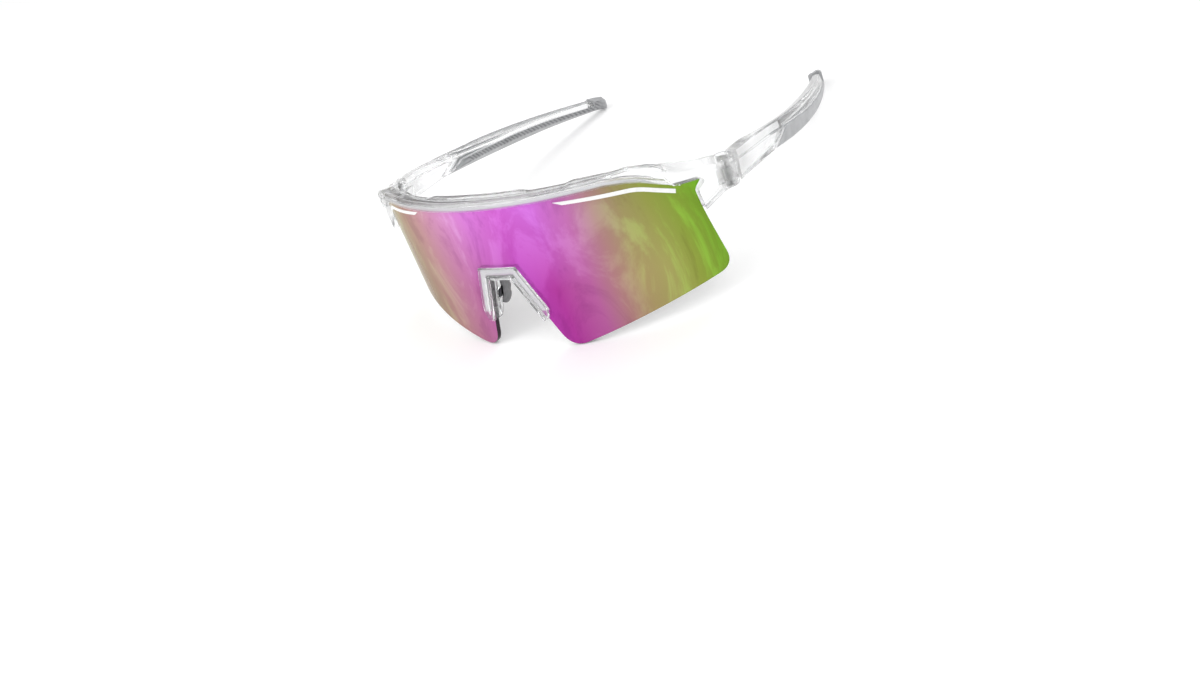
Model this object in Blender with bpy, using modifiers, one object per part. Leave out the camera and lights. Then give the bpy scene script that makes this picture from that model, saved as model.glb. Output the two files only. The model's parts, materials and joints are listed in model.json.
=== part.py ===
"""Wraparound shield sunglasses: clear half-rim frame, one mirrored lens, folding temples.

The front is drawn flat (s along the brow, y behind the lens face, z up, in millimetres) and
then bent round the lens cylinder.  Everything hangs on one empty, which leans the glasses
forward until the lens corners and the temple tips stand on the ground plane together.
"""
import math

import bmesh
import bpy
from mathutils import Matrix, Vector

MM = 0.001

# Lens and its cylinder
LENS_RADIUS = 86.0
LENS_LEAN = 0.08
LENS_THICK = 2.0
LENS_TOP = 7.4
LENS_FOOT = -45.2
STRIP = 3.2

# Clearances between pieces
GAP = 0.3
RUNNING_GAP = 0.1

# Edge bevels
BEVEL = 0.5
FINE_BEVEL = 0.3

# Brow bar: a lip over the lens's top edge, a groove line and the bar itself
LIP_BOTTOM = 5.7
LIP_HEIGHT = 1.9
LIP_FRONT = -1.3
GROOVE_DEPTH = 0.4
BAR_FRONT = -2.2
BAR_REAR = 3.3
RIB_FRONT = 1.2

# How the bar changes with the distance s from the middle: drop of its foot, reach of the lip,
# heights of its front and rear top edges, and the height of the rib on its rear top edge
LIP_DROP = ((0.0, 0.0), (44.0, 0.0), (50.0, -0.8), (54.0, -1.9), (62.0, -5.6))
LIP_REACH = ((0.0, 0.0), (44.0, 0.0), (52.0, -0.5), (62.0, -0.7))
TOP_FRONT = ((0.0, 9.1), (33.0, 8.7), (35.0, 9.3), (43.0, 9.1), (52.0, 8.9), (58.0, 7.4), (62.0, 6.3))
TOP_REAR = ((0.0, 9.1), (33.0, 8.6), (35.0, 9.3), (48.0, 8.5), (52.0, 8.6), (58.0, 6.8), (62.0, 5.4))
RIB_HEIGHT = ((0.0, 0.8), (18.0, 0.8), (21.0, 0.0))

# Side turn from the lens cylinder to the temple direction
TURN_START = 68.0
TURN_RADIUS = 22.0
TURN_HEADING = math.radians(86.0)
END_STATIONS = (59.0, 60.5, 62.0, 64.0, 66.0, 68.0, 70.0, 72.0, 74.0, 76.0, 78.0, 80.0, 82.0, 83.4)
END_REAR = 3.0
SLANT_START = 74.0

# Hinge
PIN_X = 65.8
PIN_Y = 36.8
LUG_RADIUS = 3.3
SEAM_SLANT = 0.27
LUG_TOP = 1.0
LUG_BOTTOM = -8.1
LUG_CROWN = 0.5
END_TOP = ((58.0, 6.8), (62.0, 4.6), (66.0, 2.9), (70.7, 1.8), (73.6, 1.5), (77.0, 1.1), (82.0, 0.8))
END_TOP_REAR = ((58.0, 6.4), (62.0, 5.2), (67.0, 4.1), (70.5, 3.7), (75.5, 3.2), (78.0, 2.6), (82.0, 1.2))
END_FOOT = (
    (58.0, 5.2), (62.0, 1.0), (66.0, -9.5), (67.5, -11.4), (70.1, -10.2), (73.3, -8.8), (76.5, -7.9),
    (82.0, LUG_BOTTOM + 0.4),
)
LUG_CLEARANCE = 0.4
SLOT_REACH_IN = 12.0
SLOT_REACH_BACK = 9.0
KNUCKLE_RADIUS = 2.5
KNUCKLE_LOW = -6.0
KNUCKLE_HIGH = -2.0
SCREW_RADIUS = 0.8
HEAD_RADIUS = 1.7
HEAD_HEIGHT = 0.9
HEAD_SEAT = -0.3
DRIVE_HALF_WIDTH = 0.2
DRIVE_DEPTH = 0.45
WEB_INSIDE = 1.6
WEB_OUTSIDE = 2.2
WEB_REACH = 1.6
SLEEVE_RADIUS = 1.4
SLEEVE_INSET = 0.1
NUT_RADIUS = 1.9
NUT_HEIGHT = 1.0
ROUND_STEPS = 28
NUT_SIDES = 6

# Cutters run past the faces they cut by this much
OVERRUN = 1.0

# Temple stations: distance back, centre line out and half thickness, then the heights of the
# outer top, inner top, inner foot and outer foot edges and of the rims, outside and inside,
# below which the rubber lies further back
ARM_STATIONS = (
    (36.0, 67.4, 2.2, 1.7, 1.9, -7.2, -7.4, -0.7, -3.0),
    (48.0, 67.4, 2.2, 1.2, 1.3, -7.1, -7.8, -1.8, -3.5),
    (60.0, 67.1, 2.3, 0.1, -0.8, -6.9, -8.3, -2.8, -4.2),
    (72.0, 66.4, 2.5, -1.3, -2.6, -7.2, -9.8, -4.5, -5.2),
    (86.0, 64.5, 2.7, -2.7, -4.6, -8.0, -11.2, -6.7, -6.4),
    (100.0, 61.4, 2.6, -4.5, -6.2, -9.2, -12.4, -8.7, -7.6),
    (114.0, 57.1, 2.3, -6.6, -7.9, -10.9, -13.4, -10.4, -9.4),
    (127.0, 51.8, 2.0, -8.8, -9.8, -12.9, -14.6, -12.3, -11.6),
    (138.5, 46.4, 1.8, -11.0, -11.6, -15.0, -15.9, -14.2, -13.5),
)
ARM_FRONT = 39.7
ARM_END = 56.0
LEDGE = 0.35
GRIP_START = 66.0
GRIP_START_Z = -6.2
GRIP_SLOPE = 2.5
GRIP_RUN = 5.0
GRIP_PROUD = 0.25
GRIP_TIP = 138.5
CORE_TIP = 132.0
RUBBER_THICK = 1.0
TIP_CAP = 0.4
TIP_CHAMFER = 0.8
TIP_SLANT = 0.55

# Nose bridge channel and pads
BRIDGE_TOP = -14.4
BRIDGE_HALF_TOP = 7.2
BRIDGE_FOOT = -32.4
BRIDGE_SLOPE = 0.365
FLANGE = 4.1
WEB = 0.8
WEB_DEPTH = 3.9
BRIDGE_FRONT = -1.5
LEG_ANGLE = math.atan(BRIDGE_SLOPE)
PAD_MIDDLE = -25.5
PAD_SWIVEL_Y = 3.3
PAD_TURN = math.radians(14.0)
PAD_THICK = 2.2
PAD_FRONT = 1.3
PAD_BACK = 6.6
PLATE_HALF = 1.6
PLATE_REACH = 3.6
PLATE_SLOT_START = 0.5
PLATE_THICK = 0.6
BARREL_RADIUS = 0.55
BARREL_STEPS = 16

SIDES = ((-1, "left"), (1, "right"))


# ---------------------------------------------------------------- scene and materials

def clear_scene():
    for obj in list(bpy.data.objects):
        bpy.data.objects.remove(obj, do_unlink=True)


def new_collection(name):
    collection = bpy.data.collections.new(name)
    bpy.context.scene.collection.children.link(collection)
    return collection


def make_material(name, color, roughness, metallic=0.0, alpha=1.0):
    material = bpy.data.materials.new(name)
    material.use_nodes = True
    shader = material.node_tree.nodes["Principled BSDF"]
    shader.inputs["Base Color"].default_value = (*color, 1.0)
    shader.inputs["Roughness"].default_value = roughness
    shader.inputs["Metallic"].default_value = metallic
    shader.inputs["Alpha"].default_value = alpha
    material.diffuse_color = (*color, alpha)
    return material


clear_scene()
PARTS = new_collection("wraparound_sunglasses")
CUTTERS = new_collection("cutters")
ROOT = bpy.data.objects.new("stance", None)
PARTS.objects.link(ROOT)

CLEAR = make_material("clear_plastic", (0.90, 0.92, 0.93), 0.08, alpha=0.35)
MIRROR = make_material("mirror_lens", (0.62, 0.22, 0.70), 0.08, metallic=0.6)
GRIP = make_material("grip_rubber", (0.55, 0.56, 0.57), 0.55)
PAD = make_material("pad_rubber", (0.22, 0.22, 0.23), 0.6)
STEEL = make_material("hinge_steel", (0.62, 0.63, 0.64), 0.3, metallic=1.0)
DARK_STEEL = make_material("dark_steel", (0.12, 0.12, 0.13), 0.4, metallic=1.0)


# ---------------------------------------------------------------- mesh helpers

def link(name, bm, material, collection=None, parent=ROOT):
    """Turn a bmesh in millimetres into a named object in metres."""
    bmesh.ops.scale(bm, vec=(MM, MM, MM), verts=bm.verts)
    mesh = bpy.data.meshes.new(name)
    bm.to_mesh(mesh)
    bm.free()
    mesh.shade_smooth()
    mesh.set_sharp_from_angle(angle=math.radians(28.0))
    if material is not None:
        mesh.materials.append(material)
    obj = bpy.data.objects.new(name, mesh)
    (collection or PARTS).objects.link(obj)
    obj.parent = parent
    return obj


def make_cutter(name, bm, parent=ROOT):
    obj = link(name, bm, None, CUTTERS, parent)
    obj.display_type = 'WIRE'
    obj.hide_render = True
    return obj


def boolean(obj, other, operation='DIFFERENCE'):
    modifier = obj.modifiers.new(other.name, 'BOOLEAN')
    modifier.operation = operation
    modifier.solver = 'EXACT'
    modifier.object = other


def fix_normals(bm):
    bmesh.ops.recalc_face_normals(bm, faces=bm.faces)


def mirror_if_left(bm, side):
    if side < 0:
        bmesh.ops.scale(bm, vec=(-1.0, 1.0, 1.0), verts=bm.verts)
        bmesh.ops.reverse_faces(bm, faces=bm.faces)


def skin(rings):
    """A closed loft through rings of equal length, with flat ends."""
    bm = bmesh.new()
    loops = [[bm.verts.new(point) for point in ring] for ring in rings]
    count = len(loops[0])
    for near, far in zip(loops, loops[1:]):
        for k in range(count):
            bm.faces.new((near[k], near[(k + 1) % count], far[(k + 1) % count], far[k]))
    bm.faces.new(list(reversed(loops[0])))
    bm.faces.new(loops[-1])
    fix_normals(bm)
    return bm


def cylinder(radius, low, high, x=0.0, y=0.0, steps=ROUND_STEPS):
    """An upright cylinder between two heights."""
    bm = bmesh.new()
    place = Matrix.Translation((x, y, (low + high) / 2.0))
    bmesh.ops.create_cone(bm, cap_ends=True, segments=steps, radius1=radius, radius2=radius,
                          depth=high - low, matrix=place)
    return bm


def box(low, high):
    bm = bmesh.new()
    size = Vector(high) - Vector(low)
    middle = (Vector(high) + Vector(low)) / 2.0
    bmesh.ops.create_cube(bm, size=1.0)
    bmesh.ops.scale(bm, vec=size, verts=bm.verts)
    bmesh.ops.translate(bm, vec=middle, verts=bm.verts)
    return bm


# ---------------------------------------------------------------- outlines

def fillet(before, corner, after, radius, steps=5):
    """Arc points that round one corner of an outline."""
    corner = Vector(corner)
    to_before = (Vector(before) - corner).normalized()
    to_after = (Vector(after) - corner).normalized()
    half = to_before.angle(to_after) / 2.0
    reach = radius / math.tan(half)
    middle = corner + (to_before + to_after).normalized() * (radius / math.sin(half))
    start = corner + to_before * reach - middle
    end = corner + to_after * reach - middle
    sweep = start.angle_signed(end)
    points = []
    for k in range(steps + 1):
        turn = Matrix.Rotation(-sweep * k / steps, 2)
        points.append(tuple(middle + turn @ start))
    return points


def rounded_outline(corners):
    """Corners are (s, z, radius); a zero radius keeps the corner sharp."""
    points = []
    count = len(corners)
    for k, (s, z, radius) in enumerate(corners):
        if radius <= 0.0:
            points.append((s, z))
            continue
        before = corners[k - 1][:2]
        after = corners[(k + 1) % count][:2]
        points.extend(fillet(before, (s, z), after, radius))
    return points


def both_halves(right_half):
    """Close a right-hand outline with its mirror image."""
    left_half = [(-s, z, radius) for s, z, radius in reversed(right_half)]
    return right_half + left_half


def plate(outline, front, rear):
    """A flat plate in the unrolled front, from an outline in (s, z)."""
    curve = bpy.data.curves.new("outline", 'CURVE')
    curve.dimensions = '2D'
    curve.fill_mode = 'BOTH'
    curve.extrude = (rear - front) / 2.0
    spline = curve.splines.new('POLY')
    spline.points.add(len(outline) - 1)
    for point, (s, z) in zip(spline.points, outline):
        point.co = (s, z, 0.0, 1.0)
    spline.use_cyclic_u = True
    holder = bpy.data.objects.new("outline", curve)
    bpy.context.scene.collection.objects.link(holder)
    evaluated = holder.evaluated_get(bpy.context.evaluated_depsgraph_get())
    mesh = bpy.data.meshes.new_from_object(evaluated)
    bm = bmesh.new()
    bm.from_mesh(mesh)
    bpy.data.objects.remove(holder, do_unlink=True)
    bpy.data.meshes.remove(mesh)
    bmesh.ops.remove_doubles(bm, verts=bm.verts, dist=0.0001)
    bmesh.ops.rotate(bm, verts=bm.verts, matrix=Matrix.Rotation(math.pi / 2.0, 3, 'X'))
    bmesh.ops.translate(bm, vec=(0.0, (front + rear) / 2.0, 0.0), verts=bm.verts)
    fix_normals(bm)
    return bm


# ---------------------------------------------------------------- bending the front

def brow_line(s):
    """Position and heading of the lens line in plan, past the lens turning towards the temple."""
    side = -1.0 if s < 0.0 else 1.0
    s = abs(s)
    turn_angle = TURN_START / LENS_RADIUS
    heading = min(s, TURN_START) / LENS_RADIUS
    x = LENS_RADIUS * math.sin(heading)
    y = LENS_RADIUS * (1.0 - math.cos(heading))
    if s > TURN_START:
        heading = min(turn_angle + (s - TURN_START) / TURN_RADIUS, TURN_HEADING)
        x += TURN_RADIUS * (math.sin(heading) - math.sin(turn_angle))
        y += TURN_RADIUS * (math.cos(turn_angle) - math.cos(heading))
        straight = s - TURN_START - TURN_RADIUS * (heading - turn_angle)
        x += straight * math.cos(heading)
        y += straight * math.sin(heading)
    return side * x, y, side * heading


def bent(s, y, z):
    """A point of the unrolled front, bent into place and leaned back."""
    x0, y0, heading = brow_line(s)
    x = x0 - y * math.sin(heading)
    back = y0 + y * math.cos(heading)
    return Vector((x, back - z * math.tan(LENS_LEAN), z))


def merge_strips(bm):
    """Join the flat faces between two neighbouring cuts into one face."""
    loose = []
    for edge in bm.edges:
        places = [vert.co.x / STRIP for vert in edge.verts]
        on_cut = max(abs(place - round(places[0])) for place in places) < 0.0001
        normals = [face.normal for face in edge.link_faces]
        if not on_cut and normals[0].dot(normals[1]) > 0.9999:
            loose.append(edge)
    bmesh.ops.dissolve_edges(bm, edges=loose, use_verts=False, use_face_split=False)
    idle = [vert for vert in bm.verts if len(vert.link_edges) == 2]
    bmesh.ops.dissolve_verts(bm, verts=idle)


def bend(bm, half_width):
    """Cut the flat piece into strips and bend it round the lens cylinder."""
    count = int(half_width / STRIP)
    for k in range(-count, count + 1):
        geometry = bm.verts[:] + bm.edges[:] + bm.faces[:]
        bmesh.ops.bisect_plane(bm, geom=geometry, dist=0.00001, plane_co=(k * STRIP, 0.0, 0.0),
                               plane_no=(1.0, 0.0, 0.0))
    bm.normal_update()
    merge_strips(bm)
    for vert in bm.verts:
        vert.co = bent(*vert.co)
    fix_normals(bm)


# ---------------------------------------------------------------- shield lens

def lens_corners(grow=0.0):
    """The lens's right half: top edge, ear, outer edge, bottom edge and nose cut-out."""
    edge = WEB + GAP - grow
    notch_top = BRIDGE_TOP - FLANGE + edge
    return [
        (0.0, LENS_TOP + grow, 0.0),
        (46.0, LENS_TOP - 0.3 + grow, 4.0),
        (54.5, 5.2 + grow, 4.0),
        (62.0, -0.6 + grow, 1.0),
        (71.0 + 2.0 * grow, -1.3 + grow, 1.1),
        (68.1 + grow, -4.0, 1.0),
        (68.6 + grow, -11.8, 12.0),
        (71.6 + grow, -30.8 - grow, 4.5),
        (44.0, -37.4 - grow, 60.0),
        (nose_edge(LENS_FOOT, edge), LENS_FOOT - grow, 7.0),
        (nose_edge(notch_top, edge), notch_top, 1.0),
        (0.0, notch_top, 0.0),
    ]


def shield_lens():
    bm = plate(rounded_outline(both_halves(lens_corners())), 0.0, LENS_THICK)
    bend(bm, 72.0)
    return link("shield_lens", bm, MIRROR)


# ---------------------------------------------------------------- front frame

def ramp(s, table):
    """Straight-line reading of a short table of (s, value)."""
    s = abs(s)
    for (s0, v0), (s1, v1) in zip(table, table[1:]):
        if s <= s1:
            return v0 + (v1 - v0) * max(0.0, (s - s0) / (s1 - s0))
    return table[-1][1]


def bar_section(s):
    """The brow bar's section at s, as (y, z) points from the front lip's foot round the back."""
    foot = LIP_BOTTOM + ramp(s, LIP_DROP)
    line = foot + LIP_HEIGHT
    lip = LIP_FRONT + ramp(s, LIP_REACH)
    roof = min(LENS_TOP, foot + 1.7) + GAP
    back_face = LENS_THICK + GAP
    front_top = ramp(s, TOP_FRONT)
    rear_top = ramp(s, TOP_REAR)
    rib_top = rear_top + ramp(s, RIB_HEIGHT)
    rear_foot = foot + 0.2
    return (
        (LIP_FRONT, foot), (lip, line - FINE_BEVEL), (lip + GROOVE_DEPTH, line),
        (BAR_FRONT, line + FINE_BEVEL), (BAR_FRONT + 0.2, front_top - BEVEL),
        (BAR_FRONT + 0.2 + BEVEL, front_top), (RIB_FRONT, rear_top),
        (RIB_FRONT + FINE_BEVEL, rib_top), (BAR_REAR - BEVEL, rib_top),
        (BAR_REAR, rib_top - BEVEL), (BAR_REAR, rear_foot + BEVEL),
        (BAR_REAR - BEVEL, rear_foot), (back_face, rear_foot),
        (back_face, roof), (-GAP, roof), (-GAP, foot),
    )


def bar_stations():
    """Stations along the bar, closer together at the top step."""
    inner = [k * 3.0 for k in range(0, 11)]
    outer = [33.0, 35.0, 38.0, 41.0, 44.0, 47.0, 50.0, 52.0, 54.0, 56.0, 58.0, 60.0, 62.0]
    right = inner + outer
    return [-s for s in reversed(right[1:])] + right


def brow_bar():
    rings = [[bent(s, y, z) for y, z in bar_section(s)] for s in bar_stations()]
    return skin(rings)


def end_piece(side):
    """The side of the frame, from the bar's end back to the hinge."""
    rings = []
    for s in END_STATIONS:
        top = ramp(s, END_TOP)
        rear_top = ramp(s, END_TOP_REAR)
        foot = ramp(s, END_FOOT)
        section = (
            (BAR_FRONT + BEVEL, foot), (BAR_FRONT, foot + BEVEL), (BAR_FRONT, top - BEVEL),
            (BAR_FRONT + BEVEL, top), (END_REAR - BEVEL, rear_top), (END_REAR, rear_top - BEVEL),
            (END_REAR, foot + BEVEL), (END_REAR - BEVEL, foot),
        )
        slant = (SEAM_SLANT + LENS_LEAN) * max(0.0, s - SLANT_START) / (END_STATIONS[-1] - SLANT_START)
        rings.append([bent(s + slant * z, y, z) for y, z in section])
    bm = skin(rings)
    mirror_if_left(bm, side)
    return bm


def lens_pocket():
    """Room for the lens's ear in front of the side piece."""
    grown = rounded_outline(both_halves(lens_corners(0.4)))
    bm = plate(grown, -6.0, LENS_THICK + GAP)
    bend(bm, 73.0)
    return make_cutter("lens_pocket", bm)


def knuckle_slot(side):
    """Room for the temple's knuckle: a round seat, open to the inside and the back."""
    reach = KNUCKLE_RADIUS + GAP
    inner = PIN_X - SLOT_REACH_IN
    back = PIN_Y + SLOT_REACH_BACK
    seat = [(inner, PIN_Y - reach), (PIN_X, PIN_Y - reach)]
    for k in range(1, 8):
        angle = math.radians(-90.0 + 90.0 * k / 8)
        seat.append((PIN_X + reach * math.cos(angle), PIN_Y + reach * math.sin(angle)))
    seat += [(PIN_X + reach, PIN_Y), (PIN_X + reach, back), (inner, back)]
    heights = (KNUCKLE_LOW - GAP, KNUCKLE_HIGH + GAP)
    bm = skin([[(x, y, z) for x, y in seat] for z in heights])
    mirror_if_left(bm, side)
    return bm


def front_frame():
    frame = link("front_frame", brow_bar(), CLEAR)
    pocket = lens_pocket()
    for side, name in SIDES:
        x = side * PIN_X
        end = make_cutter("end_piece_" + name, end_piece(side))
        boolean(end, pocket)
        boolean(frame, end, 'UNION')
        lug = cylinder(LUG_RADIUS, LUG_BOTTOM, LUG_TOP + LUG_CROWN, x, PIN_Y)
        boolean(frame, make_cutter("lug_" + name, lug), 'UNION')
        boolean(frame, make_cutter("knuckle_slot_" + name, knuckle_slot(side)))
        under = LUG_BOTTOM - OVERRUN
        over = LUG_TOP + LUG_CROWN + OVERRUN
        bore = cylinder(SCREW_RADIUS + RUNNING_GAP, under, over, x, PIN_Y)
        boolean(frame, make_cutter("screw_bore_" + name, bore))
        seat = cylinder(HEAD_RADIUS + RUNNING_GAP, HEAD_SEAT, over, x, PIN_Y)
        boolean(frame, make_cutter("head_seat_" + name, seat))
        pocket_top = LUG_BOTTOM + NUT_HEIGHT + GAP
        nut_room = cylinder(NUT_RADIUS + GAP, under, pocket_top, x, PIN_Y, NUT_SIDES)
        boolean(frame, make_cutter("nut_pocket_" + name, nut_room))
    return frame


# ---------------------------------------------------------------- hinge hardware

def turned(profile, steps=ROUND_STEPS):
    """A solid of revolution about Z from (radius, z) points that start and end on the axis."""
    bm = bmesh.new()
    verts = [bm.verts.new((radius, 0.0, z)) for radius, z in profile]
    edges = [bm.edges.new(pair) for pair in zip(verts, verts[1:])]
    bmesh.ops.spin(bm, geom=verts + edges, cent=(0.0, 0.0, 0.0), axis=(0.0, 0.0, 1.0),
                   angle=math.tau, steps=steps)
    bmesh.ops.remove_doubles(bm, verts=bm.verts, dist=0.0001)
    fix_normals(bm)
    return bm


def hinge_axis(side, name):
    """An empty on the hinge pin, which the screw, the sleeve and the temple hang on."""
    axis = bpy.data.objects.new("hinge_axis_" + name, None)
    PARTS.objects.link(axis)
    axis.parent = ROOT
    axis.location = (side * PIN_X * MM, PIN_Y * MM, 0.0)
    return axis


def hinge_screw(name, axis):
    tip = LUG_BOTTOM + 0.4
    crown = HEAD_SEAT + GAP + HEAD_HEIGHT
    profile = ((0.0, tip), (SCREW_RADIUS - FINE_BEVEL, tip), (SCREW_RADIUS, tip + FINE_BEVEL),
               (SCREW_RADIUS, HEAD_SEAT + GAP), (HEAD_RADIUS, HEAD_SEAT + GAP),
               (HEAD_RADIUS, crown - FINE_BEVEL), (HEAD_RADIUS - BEVEL, crown), (0.0, crown))
    screw = link("hinge_screw_" + name, turned(profile), STEEL, parent=axis)
    reach = HEAD_RADIUS + OVERRUN
    slot = box((-reach, -DRIVE_HALF_WIDTH, crown - DRIVE_DEPTH), (reach, DRIVE_HALF_WIDTH, crown + OVERRUN))
    boolean(screw, make_cutter("screw_slot_" + name, slot, axis))


def hinge_sleeve(name, axis):
    low = KNUCKLE_LOW + SLEEVE_INSET
    high = KNUCKLE_HIGH - SLEEVE_INSET
    sleeve = link("hinge_sleeve_" + name, cylinder(SLEEVE_RADIUS, low, high), STEEL, parent=axis)
    bore = cylinder(SCREW_RADIUS + RUNNING_GAP, low - OVERRUN, high + OVERRUN)
    boolean(sleeve, make_cutter("sleeve_bore_" + name, bore, axis))


def hinge_nut(name, axis):
    low = LUG_BOTTOM
    body = cylinder(NUT_RADIUS, low, low + NUT_HEIGHT, steps=NUT_SIDES)
    nut = link("hinge_nut_" + name, body, STEEL, parent=axis)
    bore = cylinder(SCREW_RADIUS + RUNNING_GAP, low - OVERRUN, low + NUT_HEIGHT + OVERRUN)
    boolean(nut, make_cutter("nut_bore_" + name, bore, axis))


# ---------------------------------------------------------------- temples and grips

def arm_row(y):
    """Smooth reading of the temple stations at a distance back."""
    rows = ARM_STATIONS
    y = min(max(y, rows[0][0]), rows[-1][0])
    k = 0
    while k < len(rows) - 2 and y > rows[k + 1][0]:
        k += 1
    before = rows[max(k - 1, 0)]
    start = rows[k]
    end = rows[k + 1]
    after = rows[min(k + 2, len(rows) - 1)]
    span = end[0] - start[0]
    t = (y - start[0]) / span
    row = []
    for j in range(1, len(start)):
        slope0 = (end[j] - before[j]) / (end[0] - before[0]) * span
        slope1 = (after[j] - start[j]) / (after[0] - start[0]) * span
        row.append((2 * t ** 3 - 3 * t ** 2 + 1) * start[j] + (t ** 3 - 2 * t ** 2 + t) * slope0
                   + (3 * t ** 2 - 2 * t ** 3) * end[j] + (t ** 3 - t ** 2) * slope1)
    return row


def arm_section(y):
    """Full section of the clear arm, with a ledge along the outer face."""
    middle, half, outer_top, inner_top, inner_foot, outer_foot, outer_rim, inner_rim = arm_row(y)
    return rounded_outline([
        (middle + half - 0.5, outer_top, 0.5), (middle + half - LEDGE, outer_rim, 0.0),
        (middle + half, outer_rim - 0.3, 0.0), (middle + half, outer_foot, 0.7),
        (middle - half, inner_foot, 0.7), (middle - half, inner_rim - 0.3, 0.0),
        (middle - half, inner_rim, 0.0), (middle - half, inner_top, 0.6),
    ])


def core_section(y):
    """The clear spine in the rubber grip: a cap flush with the rubber, on a slimmer stem."""
    middle, half, outer_top, inner_top, inner_foot, outer_foot, outer_rim, inner_rim = arm_row(y)
    stem = half - RUBBER_THICK - GAP
    floor = RUBBER_THICK + GAP
    return rounded_outline([
        (middle + half - 0.5, outer_top, 0.5), (middle + half, outer_rim + GAP, 0.0),
        (middle + stem, outer_rim + GAP, 0.0), (middle + stem, outer_foot + floor + 0.3, 0.3),
        (middle - stem, inner_foot + floor, 0.3), (middle - stem, inner_rim + GAP, 0.0),
        (middle - half, inner_rim + GAP, 0.0), (middle - half + 0.2, inner_top, 0.5),
    ])


def grip_section(y, closed=0.0):
    """A rubber channel round the spine; closed = 1 fills it up to the top for the tip."""
    middle, half, outer_top, inner_top, inner_foot, outer_foot, outer_rim, inner_rim = arm_row(y)
    inside = half - RUBBER_THICK
    half = half + GRIP_PROUD
    outer_rim += (outer_top - outer_rim) * closed
    inner_rim += (inner_top - inner_rim) * closed
    corners = rounded_outline([
        (middle + half, outer_rim, 0.0), (middle + half, outer_foot, 1.2),
        (middle - half, inner_foot, 0.9), (middle - half, inner_rim, 0.0),
    ])
    open_channel = [
        (middle - inside, inner_rim), (middle - inside, inner_foot + RUBBER_THICK),
        (middle + inside, outer_foot + RUBBER_THICK + 0.3), (middle + inside, outer_rim),
    ]
    filled = [
        (middle - half + BEVEL, inner_top + TIP_CAP), (middle - half * 0.3, inner_top + TIP_CAP),
        (middle + half * 0.3, outer_top + TIP_CAP), (middle + half - BEVEL, outer_top + TIP_CAP),
    ]
    channel = [(ox + (fx - ox) * closed, oz + (fz - oz) * closed)
               for (ox, oz), (fx, fz) in zip(open_channel, filled)]
    return corners + channel


def flat_ring(section, y):
    return [(x, y, z) for x, z in section(y)]


def slanted_ring(section, y_middle):
    """A ring on the slanted plane where the rubber starts: lower points lie further forward."""
    ring = []
    for k in range(len(section(y_middle))):
        y = y_middle
        for _ in range(8):
            x, z = section(y)[k]
            y = y_middle + min(GRIP_SLOPE * (z - GRIP_START_Z), GRIP_RUN)
        ring.append((x, y, z))
    return ring


def tip_ring(setback, scale):
    """A ring at the grip's end, which is cut at a slant: the outer side reaches further back."""
    ring = grip_section(GRIP_TIP, 1.0)
    outer = max(x for x, z in ring)
    points = [Vector((x, GRIP_TIP - setback - TIP_SLANT * (outer - x), z)) for x, z in ring]
    centre = sum(points, Vector()) / len(points)
    return [centre + (point - centre) * scale for point in points]


def spread(start, end, count):
    return [start + (end - start) * k / (count - 1) for k in range(count)]


def temple_arm(side):
    rings = [[(x, ARM_FRONT + SEAM_SLANT * z, z) for x, z in arm_section(ARM_FRONT)]]
    rings += [flat_ring(arm_section, y) for y in spread(ARM_FRONT + 3.0, ARM_END, 5)]
    rings.append(slanted_ring(arm_section, GRIP_START))
    rings.append(slanted_ring(core_section, GRIP_START + 0.01))
    rings += [flat_ring(core_section, y) for y in spread(GRIP_START + GRIP_RUN + 2.0, CORE_TIP, 14)]
    bm = skin(rings)
    mirror_if_left(bm, side)
    return bm


def shift_to_axis(bm, side):
    bmesh.ops.translate(bm, vec=(-side * PIN_X, -PIN_Y, 0.0), verts=bm.verts)
    return bm


def temple(side, name, axis):
    arm = link("temple_" + name, shift_to_axis(temple_arm(side), side), CLEAR, parent=axis)
    room = cylinder(LUG_RADIUS + LUG_CLEARANCE, LUG_BOTTOM - OVERRUN, LUG_TOP + LUG_CROWN + 2.0 * OVERRUN)
    boolean(arm, make_cutter("lug_room_" + name, room, axis))
    knuckle = cylinder(KNUCKLE_RADIUS, KNUCKLE_LOW, KNUCKLE_HIGH)
    boolean(arm, make_cutter("knuckle_" + name, knuckle, axis), 'UNION')
    web = box((-WEB_INSIDE, 0.0, KNUCKLE_LOW), (WEB_OUTSIDE, LUG_RADIUS + WEB_REACH, KNUCKLE_HIGH))
    mirror_if_left(web, side)
    boolean(arm, make_cutter("knuckle_web_" + name, web, axis), 'UNION')
    bore = cylinder(SLEEVE_RADIUS + RUNNING_GAP, KNUCKLE_LOW - OVERRUN, KNUCKLE_HIGH + OVERRUN)
    boolean(arm, make_cutter("sleeve_seat_" + name, bore, axis))


def temple_grip(side, name, axis):
    start = GRIP_START + GAP
    rings = [slanted_ring(grip_section, start)]
    rings += [flat_ring(grip_section, y) for y in spread(start + GRIP_RUN + 2.0, CORE_TIP + GAP, 14)]
    block = CORE_TIP + 2.0 * GAP
    rings.append([(x, block, z) for x, z in grip_section(block, 1.0)])
    rings.append(tip_ring(TIP_CHAMFER, 1.0))
    rings.append(tip_ring(0.0, 0.75))
    bm = skin(rings)
    mirror_if_left(bm, side)
    link("temple_grip_" + name, shift_to_axis(bm, side), GRIP, parent=axis)


# ---------------------------------------------------------------- nose bridge and pads

def nose_edge(z, n):
    """Sideways place of a line that runs down the nose at distance n from the bridge's inside."""
    return BRIDGE_HALF_TOP + (BRIDGE_TOP - z) * BRIDGE_SLOPE - (FLANGE - n) / math.cos(LEG_ANGLE)


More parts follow.
